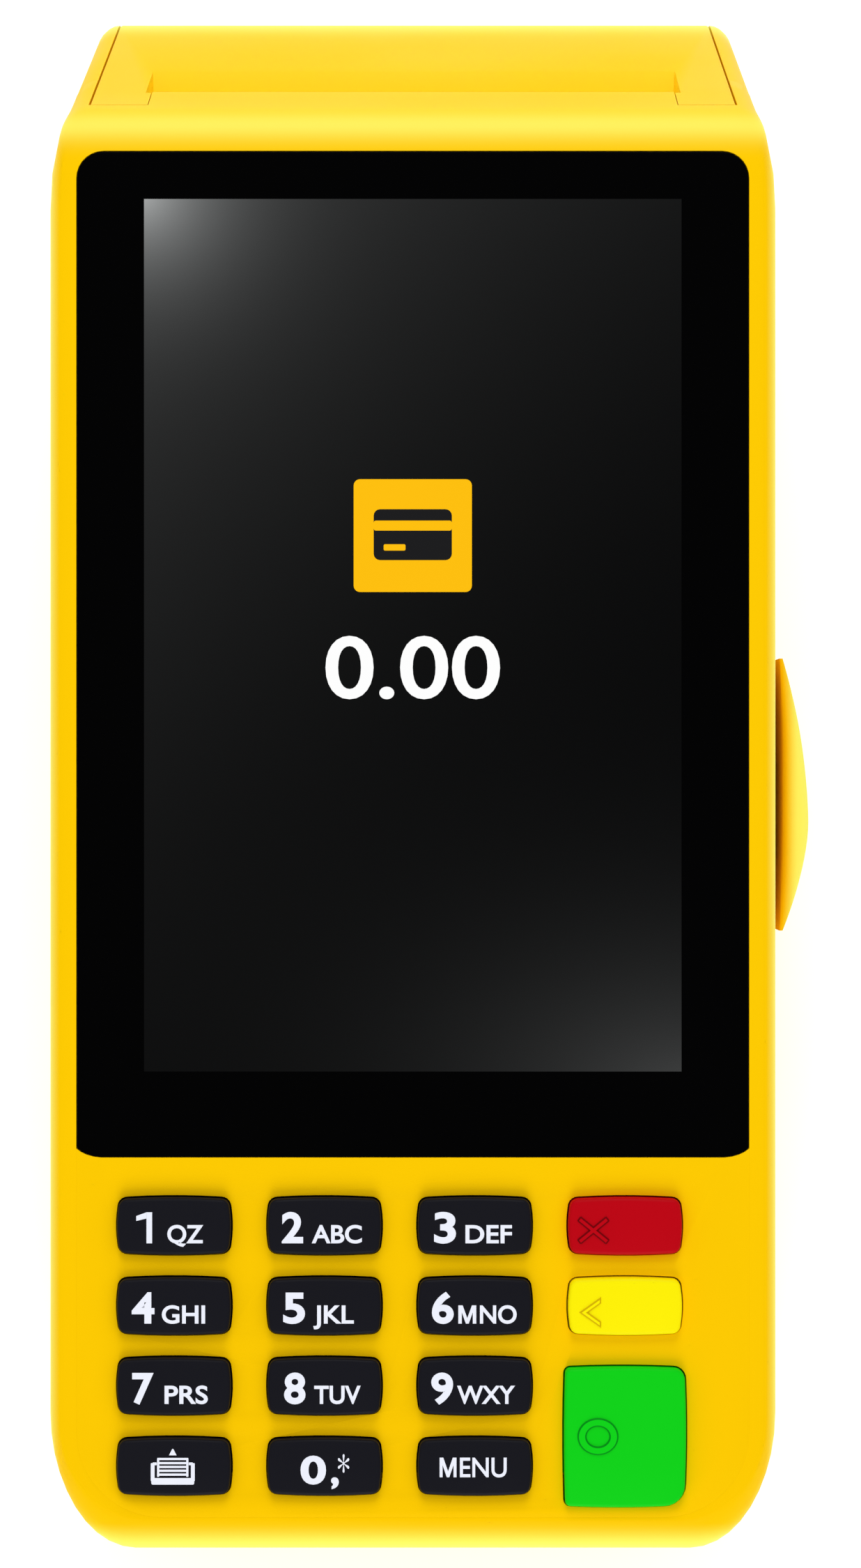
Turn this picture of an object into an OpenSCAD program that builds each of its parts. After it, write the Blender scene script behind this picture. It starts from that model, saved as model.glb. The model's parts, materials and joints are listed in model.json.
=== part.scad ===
// Portable card payment terminal with a screen, a keypad and a receipt printer.
// Every part is drawn in the face frame: X across, Y from the keypad end to the printer end,
// Z out of the face, with z = 0 on the face. placed() then leans the whole terminal back,
// so that its rubber feet stand on z = 0. All sizes are in millimetres.

/* [Body] */
// Width of the two housings
body_w = 80.6; // [80.2:0.1:81]
// Lean of the face when the terminal stands on a table, in degrees
face_tilt = 10; // [9.5:0.1:10.3]
// Thickness of the keypad end
grip_depth = 29.5; // [29.5:0.1:30.5]
// Steepness of the paper door, in degrees below the face
door_slope = 65.7; // [65:0.1:66]

/* [Keypad] */
// Distance between key columns
key_pitch_x = 16.5; // [16.3:0.1:16.7]
// Distance between key rows
key_pitch_y = 8.8; // [8.7:0.1:8.9]
// Width of a small key
key_w = 12.9; // [12:0.1:13.1]
// Height of a small key
key_h = 6.6; // [6:0.1:6.7]
// Height of the key tops above the face
key_rise = 1.1; // [0.6:0.1:1.5]
// How far a key travels
key_travel = 0.9; // [0.5:0.1:0.9]

/* [Printer] */
// Radius of the paper roll
roll_r = 17; // [12:0.5:17.5]
// Width of the paper roll
roll_w = 57; // [50:0.5:57]
// Radius of the rubber platen
platen_r = 4.2; // [3.8:0.1:4.2]

/* [Hidden] */
$fn = 64;
eps = 0.01;

// Outer form
half_w = body_w / 2;
rim_w = half_w - 1.55; // half width of the flat rim round the face
end_w = half_w - 1.6; // half width beside the paper door
near_y = -85.4; // keypad end
wall = 2;
split_z = -15; // parting plane of the two housings
corner_r = 13; // plan corners at the keypad end
slope_y = 75.4; // where the paper door starts
slope_z = -4;
fold_r = 4.5; // rounding between the face and the paper door
tail_r = 11; // rounding under the paper door
tail_u = 40.5; // length of the flat part of the door's slope
foot_y = -71; // the front feet stand here
foot_drop = 1.4; // how far the feet lift the housing
ramp_y = 14; // the back steps down from here to the paper bay

sin_s = sin(door_slope);
cos_s = cos(door_slope);
tail_y = slope_y + tail_u * cos_s - tail_r * sin_s; // centre of the tail rounding
tail_z = slope_z - tail_u * sin_s - tail_r * cos_s;
function table_z(y) = -grip_depth - foot_drop - (y - foot_y) * tan(face_tilt);
function bay_floor_z(y) = table_z(y) + foot_drop;

// Placing of the face frame in the part's own frame
guard_x = 44.8; // outermost point of the stripe reader's guard
shift_x = (half_w - guard_x) / 2;
shift_y = -8.18;
shift_z = (grip_depth + foot_drop) * cos(face_tilt) - foot_y * sin(face_tilt);

// Screen and keypad plate
recess_w = 37; // half width of the recess in the face
recess_far = 69.6;
recess_near = -80.6;
plate_far = -41.1; // where the glass ends and the keypad plate starts
glass_z = -0.1;
glass_t = 1.2;
plate_t = 1.6;
fit_gap = 0.1;

// Keys: column, row, and the four corner radii of the enter key
key_x0 = -26.2;
key_y0 = -48.5;
key_gap = 0.25;
key_names = [
  ["1", 0, 0], ["2", 1, 0], ["3", 2, 0], ["cancel", 3, 0],
  ["4", 0, 1], ["5", 1, 1], ["6", 2, 1], ["clear", 3, 1],
  ["7", 0, 2], ["8", 1, 2], ["9", 2, 2],
  ["feed", 0, 3], ["0", 1, 3], ["menu", 2, 3]
];
enter_w = 13.8;
enter_h = 15.8;
enter_y = key_y0 - 2.63 * key_pitch_y;

// Paper bay and printer
bay_y = 49.5;
bay_z = -27.5;
bay_r = 19.5;
bucket_t = 1.1;
roll_drop = bay_r - roll_r - 0.1;
roll_y = bay_y - roll_drop * sin(face_tilt);
roll_z = bay_z - roll_drop * cos(face_tilt);
seam_w = 36.05; // half width of the opening for the paper door
slot_w = 29.5; // half width of the paper slot
slot_u = 6.3; // paper slot, measured down the slope
ramp_u = 16.7; // far edge of the shallow ramp behind the slot
platen_u = 11.6;
platen_n = -10;
shaft_r = 1.5;
bush_r = 2.2;

// Hinge of the paper door
hinge_angle = -38;
hinge_in = 2.6;
barrel_r = 2.4;
pin_r = 1;
hinge_y = tail_y + (tail_r - hinge_in) * cos(hinge_angle);
hinge_z = tail_z + (tail_r - hinge_in) * sin(hinge_angle);
door_end_angle = -32;
door_knuckles = [[-29, -15.2], [15.2, 29]];
case_knuckles = [[-36.2, -29.2], [-15, 15], [29.2, 36.2]];

// Gear train, in the plane of the printer's side plate
module_mm = 0.6;
pressure = 25;
platen_teeth = 16;
small_teeth = 28;
large_teeth = 36;
pinion_teeth = 12;
function pitch_r(teeth) = teeth * module_mm / 2;
function on_plate(u, n) = [slope_y + u * cos_s + n * sin_s, slope_z - u * sin_s + n * cos_s];
platen_at = on_plate(platen_u, platen_n);
small_at = on_plate(platen_u, platen_n - pitch_r(platen_teeth) - pitch_r(small_teeth));
motor_at = [29, -10.5];
motor_r = 5;
to_small = small_at - motor_at;
reach = norm(to_small);
arm_a = pitch_r(pinion_teeth) + pitch_r(large_teeth);
arm_b = pitch_r(large_teeth) + pitch_r(small_teeth);
bend = acos((arm_a * arm_a + reach * reach - arm_b * arm_b) / (2 * arm_a * reach));
large_heading = atan2(to_small[1], to_small[0]) - bend;
large_at = motor_at + arm_a * [cos(large_heading), sin(large_heading)];
function heading(a, b) = atan2(b[1] - a[1], b[0] - a[0]);
// Turn of the second gear so that its gap meets the first gear's tooth
function meshed(turn, teeth, a, b, next) =
  heading(a, b) + 180 + 180 / next + (heading(a, b) - turn) * teeth / next;
small_turn = meshed(0, platen_teeth, platen_at, small_at, small_teeth);
large_turn = meshed(small_turn, small_teeth, small_at, large_at, large_teeth);
pinion_turn = meshed(large_turn, large_teeth, large_at, motor_at, pinion_teeth);
gear_x0 = 32;
gear_x1 = 34.4;
side_x0 = 30.6; // printer side plates
side_x1 = 31.6;

// Battery
battery_w = 27;
battery_near = -60;
battery_far = 9;
cover_t = 1.6;
cover_w = 30.3;
cover_near = -64;
cover_far = 12;

// Stripe reader
slot_x = 41.8; // inner face of the guard
guard_far = 22;
guard_near = -22;
guard_mid = -5;
guard_top = -11;
slot_floor = -grip_depth + 3;

yellow = "#ffc800";
black = "#17181c";
green = "#00d219";
red = "#c00014";
lemon = "#ffee00";
board_green = "#1c5a36";
metal = "#b8bcc0";
brass = "#c9a24a";

// ---- Shared shapes ----

function arc(cx, cy, r, from, to, steps) =
  [for (i = [0:steps]) let (a = from + (to - from) * i / steps) [cx + r * cos(a), cy + r * sin(a)]];

// A box given by its two corners
module block(low, high) {
  translate(low) cube(high - low);
}

// A flat rounded rectangle with its own radius at each corner
module rounded(x0, x1, y0, y1, r_near, r_far) {
  difference() {
    translate([x0, y0]) square([x1 - x0, y1 - y0]);
    for (side = [0, 1], far = [0, 1]) {
      r = far ? r_far : r_near;
      cx = side ? x1 - r : x0 + r;
      cy = far ? y1 - r : y0 + r;
      difference() {
        translate([side ? cx : x0 - 1, far ? cy : y0 - 1]) square([r + 1, r + 1]);
        translate([cx, cy]) circle(r);
      }
    }
  }
}

// Extrudes a drawing of (y, z) along X between two stations
module across(x0, x1) {
  translate([x0, 0, 0]) rotate([90, 0, 90]) linear_extrude(x1 - x0) children();
}

// Extrudes a drawing of (x, z) along Y between two stations
module lengthwise(y0, y1) {
  translate([0, y1, 0]) rotate([90, 0, 0]) linear_extrude(y1 - y0) children();
}

// Extrudes a drawing of (x, y) along Z between two levels
module upright(z0, z1) {
  translate([0, 0, z0]) linear_extrude(z1 - z0) children();
}

// A rod along X
module rod(at, r, x0, x1) {
  across(x0, x1) translate(at) circle(r);
}

// The frame of the paper door: Y down the slope, Z out of the door
module on_slope() {
  translate([0, slope_y, slope_z]) rotate([-door_slope, 0, 0]) children();
}

// A spur gear in the (y, z) plane with involute flanks and running backlash
function flank(rb, r) = let (t = sqrt(max(0, r * r / rb / rb - 1))) t * 180 / PI - atan(t);
module gear_drawing(teeth, turn) {
  rp = pitch_r(teeth);
  rb = rp * cos(pressure);
  ra = rp + 0.85 * module_mm;
  rf = rp - 1.2 * module_mm;
  backlash = 0.07 / rp * 180 / PI;
  half = 90 / teeth - backlash + flank(rb, rp);
  levels = [for (i = [0:4]) max(rb, rf) + (ra - max(rb, rf)) * i / 4];
  rotate(turn) polygon([
    for (k = [0:teeth - 1]) let (mid = 360 * k / teeth) each concat(
      [rf * [cos(mid - half - 0.4), sin(mid - half - 0.4)]],
      [for (r = levels) let (a = mid - half + flank(rb, r)) r * [cos(a), sin(a)]],
      [for (i = [4:-1:0]) let (r = levels[i], a = mid + half - flank(rb, r)) r * [cos(a), sin(a)]],
      [rf * [cos(mid + half + 0.4), sin(mid + half + 0.4)]]
    )
  ]);
}

module gear(at, teeth, turn, bore, x0, x1) {
  difference() {
    across(x0, x1) translate(at) gear_drawing(teeth, turn);
    rod(at, bore, x0 - 1, x1 + 1);
  }
}

// ---- Outer form shared by both housings ----

side_outline = concat(
  arc(near_y + 5, -5, 5, 90, 180, 8),
  arc(near_y + 7.8, -grip_depth + 7, 7, 180, 270, 8),
  [[ramp_y, -grip_depth], [ramp_y + 18.2, bay_floor_z(ramp_y + 18.2)]],
  arc(tail_y, tail_z, tail_r, -90 - face_tilt, 90 - door_slope, 16),
  arc(slope_y - 0.645 * fold_r * (1 - cos_s) - 4.9 + 0.71, -fold_r, fold_r, 90 - door_slope, 90, 8)
);

module plan_outline() {
  far_corner = 7;
  tail_end = tail_y + tail_r + 0.5;
  polygon(concat(
    arc(-half_w + corner_r, near_y + corner_r, corner_r, 180, 270, 12),
    arc(half_w - corner_r, near_y + corner_r, corner_r, 270, 360, 12),
    [[half_w, 66], [end_w, 76]],
    arc(end_w - far_corner, tail_end - far_corner, far_corner, 0, 90, 8),
    arc(-end_w + far_corner, tail_end - far_corner, far_corner, 90, 180, 8),
    [[-end_w, 76], [-half_w, 66]]
  ));
}

// The rounded rim round the face, with straight sides below it
module rim_section() {
  polygon([
    [rim_w, 0], [half_w - 0.4, -1.2], [half_w, -4], [half_w, -70],
    [-half_w, -70], [-half_w, -4], [-half_w + 0.4, -1.2], [-rim_w, 0]
  ]);
}

// Upright sides standing on z = 0 with both lower corners rounded
module rounded_base(r) {
  polygon(concat(
    [[-half_w, 120]],
    arc(-half_w + r, r, r, 180, 270, 8),
    arc(half_w - r, r, r, 270, 360, 8),
    [[half_w, 120]]
  ));
}

module outer_form() {
  intersection() {
    across(-half_w - 1, half_w + 1) polygon(side_outline);
    upright(-70, 1) plan_outline();
    lengthwise(near_y - 1, 110) rim_section();
    union() {
      translate([0, 0, -grip_depth]) lengthwise(near_y - 1, ramp_y + 0.5) rounded_base(6);
      intersection() {
        block([-50, ramp_y, -70], [50, 110, 1]);
        translate([0, ramp_y, bay_floor_z(ramp_y)]) rotate([-face_tilt, 0, 0]) lengthwise(-30, 110) rounded_base(8);
      }
    }
  }
}

// The room inside one end of a housing, between two levels
module room(z0, z1, y1) {
  intersection() {
    upright(z0, z1) rounded(-half_w + wall, half_w - wall, near_y + 2.2, y1, 10.8, 0.01);
    across(-50, 50) polygon([
      [near_y, 0], [near_y + 2.2, -21.8], [near_y + 7.8, -grip_depth + wall], [y1, -grip_depth + wall], [y1, 0]
    ]);
    lengthwise(near_y, y1) polygon([
      [-half_w, 0], [-half_w, -21], [-half_w + 6, -grip_depth + wall],
      [half_w - 6, -grip_depth + wall], [half_w, -21], [half_w, 0]
    ]);
  }
}

screw_posts = [[-32.5, -74], [32.5, -74], [-34.2, 8], [34.2, 8]];

module front_housing() {
  color(yellow) difference() {
    union() {
      difference() {
        intersection() {
          outer_form();
          block([-50, -100, split_z], [50, 110, 1]);
        }
        // hollow behind the face
        room(split_z - 1, -3, 60);
        across(-seam_w, seam_w) polygon([
          [59, split_z - 1], [59, -3], [70.8, -3], [73.4, -4.6],
          on_plate(0, -2), on_plate(20, -2), on_plate(20, -30)
        ]);
        // opening for the paper door
        on_slope() block([-seam_w, 0, -3], [seam_w, 30, 5]);
      }
      // lip in front of the paper slot
      on_slope() block([-slot_w + 0.15, -0.2, -2], [slot_w - 0.15, slot_u, 0]);
      // screw posts
      for (p = screw_posts) translate([p[0], p[1], split_z]) cylinder(h = 10.3, r = 3);
      for (side = [-1, 1]) {
        block([side * 35.2 - 3.3, -75, split_z], [side * 35.2 + 3.3, -73, -2.9]);
        block([side * 37.4 - 1.2, 6.8, split_z], [side * 37.4 + 1.2, 9.2, -4.7]);
      }
    }
    // recess for the glass and the keypad plate
    upright(-1.4, 1) rounded(-recess_w, recess_w, plate_far - 4, recess_far, 0.01, 3);
    upright(-1.7, 1) rounded(-recess_w, recess_w, recess_near, plate_far + 1, 9.5, 0.01);
    // windows for the display and the keys
    block([-33, -38.6, -4], [33, 67, 0]);
    upright(-4, 0) rounded(-34.4, 34.4, -80.3, -43, 6, 0.01);
    // screw holes
    for (p = screw_posts) translate([p[0], p[1], split_z - 1]) cylinder(h = 10, r = 1.3);
    // card slot at the keypad end, power key and charging port
    block([-27.5, near_y - 1, split_z - 1], [27.5, near_y + 4, split_z + 0.9]);
    block([-half_w - 1, 24.9, -10.6], [-half_w + 4, 35.1, -7.4]);
    block([-half_w - 1, -9.6, -14.1], [-half_w + 4, -0.4, -10.6]);
  }
}

module guard_plan(x0, x1, bulge_near, bulge_far) {
  r_far = (bulge_far * bulge_far + pow(guard_far - guard_mid, 2)) / (2 * bulge_far);
  r_near = (bulge_near * bulge_near + pow(guard_mid - guard_near, 2)) / (2 * bulge_near);
  a_far = asin((guard_far - guard_mid) / r_far);
  a_near = asin((guard_mid - guard_near) / r_near);
  polygon(concat(
    arc(x1 - r_far, guard_mid, r_far, a_far, 0, 10),
    arc(x1 - r_near, guard_mid, r_near, 0, -a_near, 10),
    [[x0, guard_near], [x0, guard_far]]
  ));
}

module stripe_guard() {
  bulge = guard_x - slot_x - 0.1;
  intersection() {
    union() {
      upright(-grip_depth, guard_top) guard_plan(slot_x, guard_x, bulge, bulge);
      upright(-grip_depth, slot_floor) guard_plan(half_w - 5, guard_x, bulge, bulge);
    }
    across(30, 50) polygon([
      [guard_near, -grip_depth + 1.5], [guard_near + 3, -grip_depth], [guard_far - 3, -grip_depth],
      [guard_far, -grip_depth + 1.5], [guard_far, -19], [guard_far - 8, guard_top],
      [guard_near + 6, guard_top], [guard_near, -19]
    ]);
  }
}

module rear_housing() {
  tray_top = -18.2;
  color(yellow) difference() {
    union() {
      difference() {
        intersection() {
          outer_form();
          block([-50, -100, -70], [50, 110, split_z]);
        }
        // electronics hollow, with the battery tray left standing in it
        difference() {
          room(-grip_depth + wall, split_z + 1, ramp_y - 1);
          block([-battery_w - 2.2, battery_near - 2, -40], [battery_w + 2.2, battery_far + 1.8, tray_top]);
        }
        // paper bay, open towards the door
        across(-seam_w, seam_w) polygon([
          [ramp_y - 2, split_z + 1], [ramp_y - 2, -24.7], [ramp_y + 19.6, bay_floor_z(ramp_y + 18.2) + 1.9],
          [79, bay_floor_z(79) + 2], [85.5, -53.2], [hinge_y, hinge_z], [110, hinge_z], [110, split_z + 1]
        ]);
        rod([hinge_y, hinge_z], 3.5, -seam_w, seam_w);
      }
      stripe_guard();
      // hinge knuckles that stand on the floor of the bay
      for (k = case_knuckles) {
        rod([hinge_y, hinge_z], barrel_r, k[0] - (k[0] < -20 ? 1 : 0), k[1] + (k[1] > 20 ? 1 : 0));
        across(k[0], k[1]) polygon([
          [hinge_y, hinge_z], [hinge_y - 2.4, hinge_z + 1.6], [82, -52.2], [82, -55.2],
          [hinge_y - 2.65, hinge_z - 4.24]
        ]);
      }
      // posts for the case screws
      for (p = screw_posts) translate([p[0], p[1], -grip_depth + 1]) cylinder(h = grip_depth - 16, r = 3);
    }
    rod([hinge_y, hinge_z], pin_r + 0.03, -seam_w - 0.6, seam_w + 0.6);
    // battery bay and the seat of its cover
    block([-battery_w - 0.8, battery_near - 0.6, -40], [battery_w + 0.8, battery_far + 0.6, tray_top - 1.1]);
    block([-cover_w - 0.15, cover_near - 0.15, -40], [cover_w + 0.15, cover_far + 0.15, -grip_depth + cover_t]);
    // screw holes
    for (p = screw_posts) translate([p[0], p[1], -40]) {
      cylinder(h = 40, r = 1.4);
      cylinder(h = 40 - grip_depth + 3.2, r = 2.6);
    }
    // card slot, window of the stripe head and speaker grille
    block([-27.5, near_y - 1, split_z - 0.9], [27.5, near_y + 4, split_z + 1]);
    block([half_w - 5, -8.4, -26], [half_w + 0.2, 2.4, -16.5]);
    for (i = [-3:3]) translate([i * 3, ramp_y + 8, -grip_depth - 8]) rotate([45, 0, 0])
      cube([1.4, 9, 12], center = true);
    // pockets of the rubber feet
    feet(4.15, 2.4);
  }
}

// ---- Face ----

module keypad_plate() {
  color(yellow) difference() {
    upright(-plate_t, 0) rounded(
      -recess_w + fit_gap, recess_w - fit_gap, recess_near + fit_gap, plate_far, 9.4, 0.01);
    for (k = key_names) translate([key_x0 + k[1] * key_pitch_x, key_y0 - k[2] * key_pitch_y])
      upright(-3, 1) key_drawing(key_w + 2 * key_gap, key_h + 2 * key_gap, 1.4);
    translate([key_x0 + 3 * key_pitch_x, enter_y]) upright(-3, 1)
      key_drawing(enter_w + 2 * key_gap, enter_h + 2 * key_gap, 1.4);
  }
}

module display_glass() {
  color("black") upright(glass_z - glass_t, glass_z) rounded(
    -recess_w + fit_gap, recess_w - fit_gap, plate_far + fit_gap, recess_far - fit_gap, 0.8, 2.9);
}

module frame_ring(x, near, far, ring, z0, z1) {
  difference() {
    block([-x, near, z0], [x, far, z1]);
    block([-x + ring, near + ring, z0 - 1], [x - ring, far - ring, z1 + 1]);
  }
}

module display_gasket() {
  color("#2a2a2a") frame_ring(31.6, -34.5, 66.4, 1.6, -1.6, -1.35);
}

module display_module() {
  color("#303338") block([-31.6, -38, -4.4], [31.6, 66.5, -1.65]);
}

module contactless_antenna() {
  color(board_green) frame_ring(36, -41, 69.6, 2.9, -3.9, -3.1);
}

// ---- Keys ----

module key_drawing(w, h, r) {
  rounded(-w / 2, w / 2, -h / 2, h / 2, r, r);
}

module key(w, h) {
  flange = 0.35;
  upright(-plate_t, key_rise) key_drawing(w, h, 1.2);
  upright(-2.6, -plate_t - 0.15) key_drawing(w + 2 * flange, h + 2 * flange, 1);
  block([-w / 2 + 0.5, -h / 2 + 0.5, -plate_t - 0.2], [w / 2 - 0.5, h / 2 - 0.5, -plate_t + 0.1]);
  block([-3.2, -1.6, -4.2], [3.2, 1.6, -2.5]);
}

module small_key(i, tint) {
  k = key_names[i];
  color(tint) translate([key_x0 + k[1] * key_pitch_x, key_y0 - k[2] * key_pitch_y, 0]) key(key_w, key_h);
}

module key_enter() {
  color(green) translate([key_x0 + 3 * key_pitch_x, enter_y, 0]) key(enter_w, enter_h);
}

// Where each key's plunger meets its dome
dome_spots = concat(
  [for (k = key_names) [key_x0 + k[1] * key_pitch_x, key_y0 - k[2] * key_pitch_y]],
  [[key_x0 + 3 * key_pitch_x, enter_y]]
);

module keypad_spacer() {
  color("#d8d8d0") difference() {
    block([-34, -77.2, -5.9], [32.2, -43.4, -5.1]);
    for (p = dome_spots) translate([p[0], p[1], -7]) cylinder(h = 3, r = 3.9);
    for (side = [-1, 1]) block([side * 34 - 4.8, -78, -7], [side * 34 + 4.8, -70.7, -3]);
  }
}

module keypad_board() {
  color(board_green) difference() {
    block([-35, -79, -7.6], [34, -42.6, -6]);
    for (x = [-32.5, 32.5]) translate([x, -74, -9]) cylinder(h = 5, r = 3.3);
  }
}

module key_domes() {
  color(metal) for (p = dome_spots) translate([p[0], p[1], -5.98]) {
    cylinder(h = 0.25, r = 3.2);
    cylinder(h = 0.7, r = 1.6);
  }
}

module power_button() {
  color(black) {
    block([-half_w - 0.35, 25.1, -10.4], [-half_w + 3, 34.9, -7.6]);
    block([-half_w + 2.4, 24, -11.2], [-half_w + 3.2, 36, -6.8]);
  }
}

// ---- Electronics ----

board_holes = [[-32, -32], [30, -32], [-32, 20], [6, 20]];

module main_board() {
  color(board_green) difference() {
    block([-35.5, -36, -10.6], [35.5, 22.5, -9]);
    for (p = board_holes) translate([p[0], p[1], -12]) cylinder(h = 5, r = 1.3);
    for (x = [-34.2, 34.2]) translate([x, 8, -16]) cylinder(h = 12, r = 3.3);
  }
}

module board_screws() {
  color(metal) for (p = board_holes) translate([p[0], p[1], -11.6]) {
    cylinder(h = 1, r = 2);
    cylinder(h = 4.4, r = 1.1);
  }
}

module security_shield() {
  color(metal) difference() {
    block([-25, -12, -13.4], [3, 14, -10.65]);
    block([-24.6, -11.6, -13], [2.6, 13.6, -10]);
  }
}

module radio_module() {
  color(metal) block([8, -20, -12.8], [28, 8, -10.65]);
}

module coin_cell() {
  color(metal) translate([-20, -24, -13.9]) cylinder(h = 3.2, r = 6.2);
}

module charge_port() {
  color(metal) difference() {
    block([-half_w + 0.5, -9.4, -14], [-32.8, -0.6, -10.8]);
    block([-half_w - 1, -9.1, -13.7], [-34, -0.9, -11.1]);
  }
  color(black) block([-38.6, -8.2, -12.75], [-33.9, -1.8, -12.05]);
}

module chip_reader() {
  color(black) difference() {
    block([-30, -82.8, -17.8], [30, -40, -10.8]);
    block([-27.2, -84, split_z - 0.6], [27.2, -42, split_z + 0.6]);
    block([-6, -60, split_z], [6, -46, split_z + 2]);
    for (x = [-32.5, 32.5]) translate([x, -74, -20]) cylinder(h = 12, r = 3.3);
  }
}

module chip_contacts() {
  color(brass) for (row = [0, 1], i = [0:3]) translate([-4.5 + i * 2.54, -58.5 + row * 6, split_z + 0.7])
    cube([1.2, 4.6, 0.5]);
}

module stripe_head() {
  color(metal) {
    block([35, -7.9, -25.5], [half_w - 0.3, 1.9, -17]);
    translate([half_w - 3, -3, 0]) upright(-24.8, -17.7) intersection() {
      circle(3.6);
      translate([0, -3]) square([4, 6]);
    }
  }
}

module stripe_spring() {
  color(metal) {
    block([33.8, -13, -23], [34.15, 3.6, -18.5]);
    for (y = [-13.4, 3.6]) block([33.8, y, -23], [half_w - wall, y + 0.4, -18.5]);
  }
}

module speaker() {
  color(black) translate([0, ramp_y + 6.2, -grip_depth - 6.2]) rotate([135, 0, 0]) translate([0, 0, -5.6])
    difference() {
      cylinder(h = 3, r = 6);
      translate([0, 0, 2]) cylinder(h = 2, r = 4.8);
    }
}

// ---- Battery ----

module battery_pack() {
  color("#3a3d45") block([-battery_w, battery_near, -27.5], [battery_w, battery_far - 0.6, -19.6]);
}

module battery_contacts() {
  color(brass) for (i = [0:3]) block([-8 + i * 4.5, battery_far - 0.5, -25], [-5.5 + i * 4.5, battery_far + 0.5, -21]);
}

module battery_cover() {
  color(yellow) {
    block([-cover_w, cover_near, -grip_depth], [cover_w, cover_far, -grip_depth + cover_t - 0.05]);
    // thumb ribs
    for (i = [0:4]) block([-7, cover_far - 12 + i * 1.8, -grip_depth - 0.4], [7, cover_far - 11.2 + i * 1.8, -grip_depth + 0.5]);
  }
}

// ---- Paper door and hinge ----

module door_skin() {
  polygon(concat(
    [on_plate(0.15, 0)],
    arc(tail_y, tail_z, tail_r, 90 - door_slope, door_end_angle, 10),
    arc(tail_y, tail_z, tail_r - wall, door_end_angle, 90 - door_slope, 10),
    [on_plate(0.15, -wall)]
  ));
}

module paper_door() {
  platen_hole = bush_r + 0.05;
  color(yellow) difference() {
    union() {
      difference() {
        intersection() {
          across(-seam_w + 0.15, seam_w - 0.15) door_skin();
          upright(-70, 5) plan_outline();
        }
        on_slope() block([-slot_w, -1, -5], [slot_w, slot_u + 1.6, 5]);
        for (k = case_knuckles) rod([hinge_y, hinge_z], barrel_r + 0.25, k[0] - 0.2, k[1] + 0.2);
      }
      // backing under the shallow ramp
      on_slope() across(-slot_w - 1, slot_w + 1) polygon([
        [slot_u + 1.6, -4.5], [slot_u + 1.6, -2.9], [ramp_u, -0.1], [ramp_u + 2, -2.2]
      ]);
      for (k = door_knuckles) rod([hinge_y, hinge_z], barrel_r, k[0], k[1]);
      // arms that carry the platen
      for (x = [-29.7, 28.7]) on_slope() block([x, slot_u + 2.4, platen_n - 3], [x + 1, ramp_u - 1.2, -wall + 0.2]);
    }
    // the ramp itself, with flared ends
    on_slope() across(-slot_w, slot_w) polygon([
      [slot_u, 1], [slot_u, -3.1], [slot_u + 1.6, -3], [ramp_u, 0], [ramp_u, 1]
    ]);
    for (k = door_knuckles) rod([hinge_y, hinge_z], pin_r + 0.06, k[0] - 1, k[1] + 1);
    rod(platen_at, platen_hole, -40, 40);
  }
}

module door_hinge_pin() {
  color(metal) rod([hinge_y, hinge_z], pin_r, -seam_w - 0.4, seam_w + 0.4);
}

// ---- Printer ----

module platen_roller() {
  color("#202020") difference() {
    rod(platen_at, platen_r, -28.2, 28.2);
    rod(platen_at, shaft_r + 0.02, -30, 30);
  }
}

module platen_shaft() {
  color(metal) rod(platen_at, shaft_r, -31.8, gear_x1 + 0.4);
}

module platen_bushes() {
  color("#e8e4d8") for (x = [-30.2, 28.6]) difference() {
    rod(platen_at, bush_r, x, x + 1.6);
    rod(platen_at, shaft_r + 0.03, x - 1, x + 3);
  }
}

module platen_gear() {
  color("#e8e4d8") gear(platen_at, platen_teeth, 0, shaft_r + 0.02, gear_x0, gear_x1);
}

module idler_gear_small() {
  color("#e8e4d8") gear(small_at, small_teeth, small_turn, 1.25, gear_x0, gear_x1);
}

module idler_gear_large() {
  color("#e8e4d8") gear(large_at, large_teeth, large_turn, 1.25, gear_x0, gear_x1);
}

module motor_pinion() {
  color(brass) {
    gear(motor_at, pinion_teeth, pinion_turn, 0.75, gear_x0, gear_x1);
    rod(motor_at, 0.75, 25, gear_x1 + 0.3);
  }
}

module printer_motor() {
  color(metal) difference() {
    union() {
      rod(motor_at, motor_r, 12, 29.8);
      block([29.8, motor_at[0] - 5, motor_at[1] - 4], [30.5, motor_at[0] + 4, motor_at[1] + 5]);
    }
    rod(motor_at, 0.85, 24.6, 40);
  }
}

module printer_frame() {
  color("#4a4d52") difference() {
    union() {
      across(side_x0, side_x1) polygon([
        [23, -5.2], [34, -5.2], [62, -9.5], on_plate(3, -3.6), on_plate(14, -3.6), on_plate(16, -6),
        on_plate(16, -14), [60, -33], [40, -33], [23, -17]
      ]);
      across(-side_x1, -side_x0) polygon([
        on_plate(3, -3.6), on_plate(14, -3.6), on_plate(16, -6), on_plate(16, -14), on_plate(3, -14)
      ]);
      on_slope() block([-side_x1, 0.9, -12.6], [side_x1, 3.1, -8.6]);
      for (p = [small_at, large_at]) rod(p, 1.2, side_x1 - 0.1, gear_x1 + 0.5);
    }
    // open notches that the platen shaft snaps into
    on_slope() for (x = [-side_x1 - 1, side_x0 - 1]) {
      block([x, platen_u - shaft_r - 0.4, platen_n], [x + 3, platen_u + shaft_r + 0.4, 0]);
    }
    rod(platen_at, shaft_r + 0.4, -40, 40);
    rod(motor_at, 2, 30, 33);
  }
}

module thermal_head() {
  color(metal) on_slope() block([-28.4, 5.2, -13.4], [28.4, 6.95, -6.2]);
}

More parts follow.
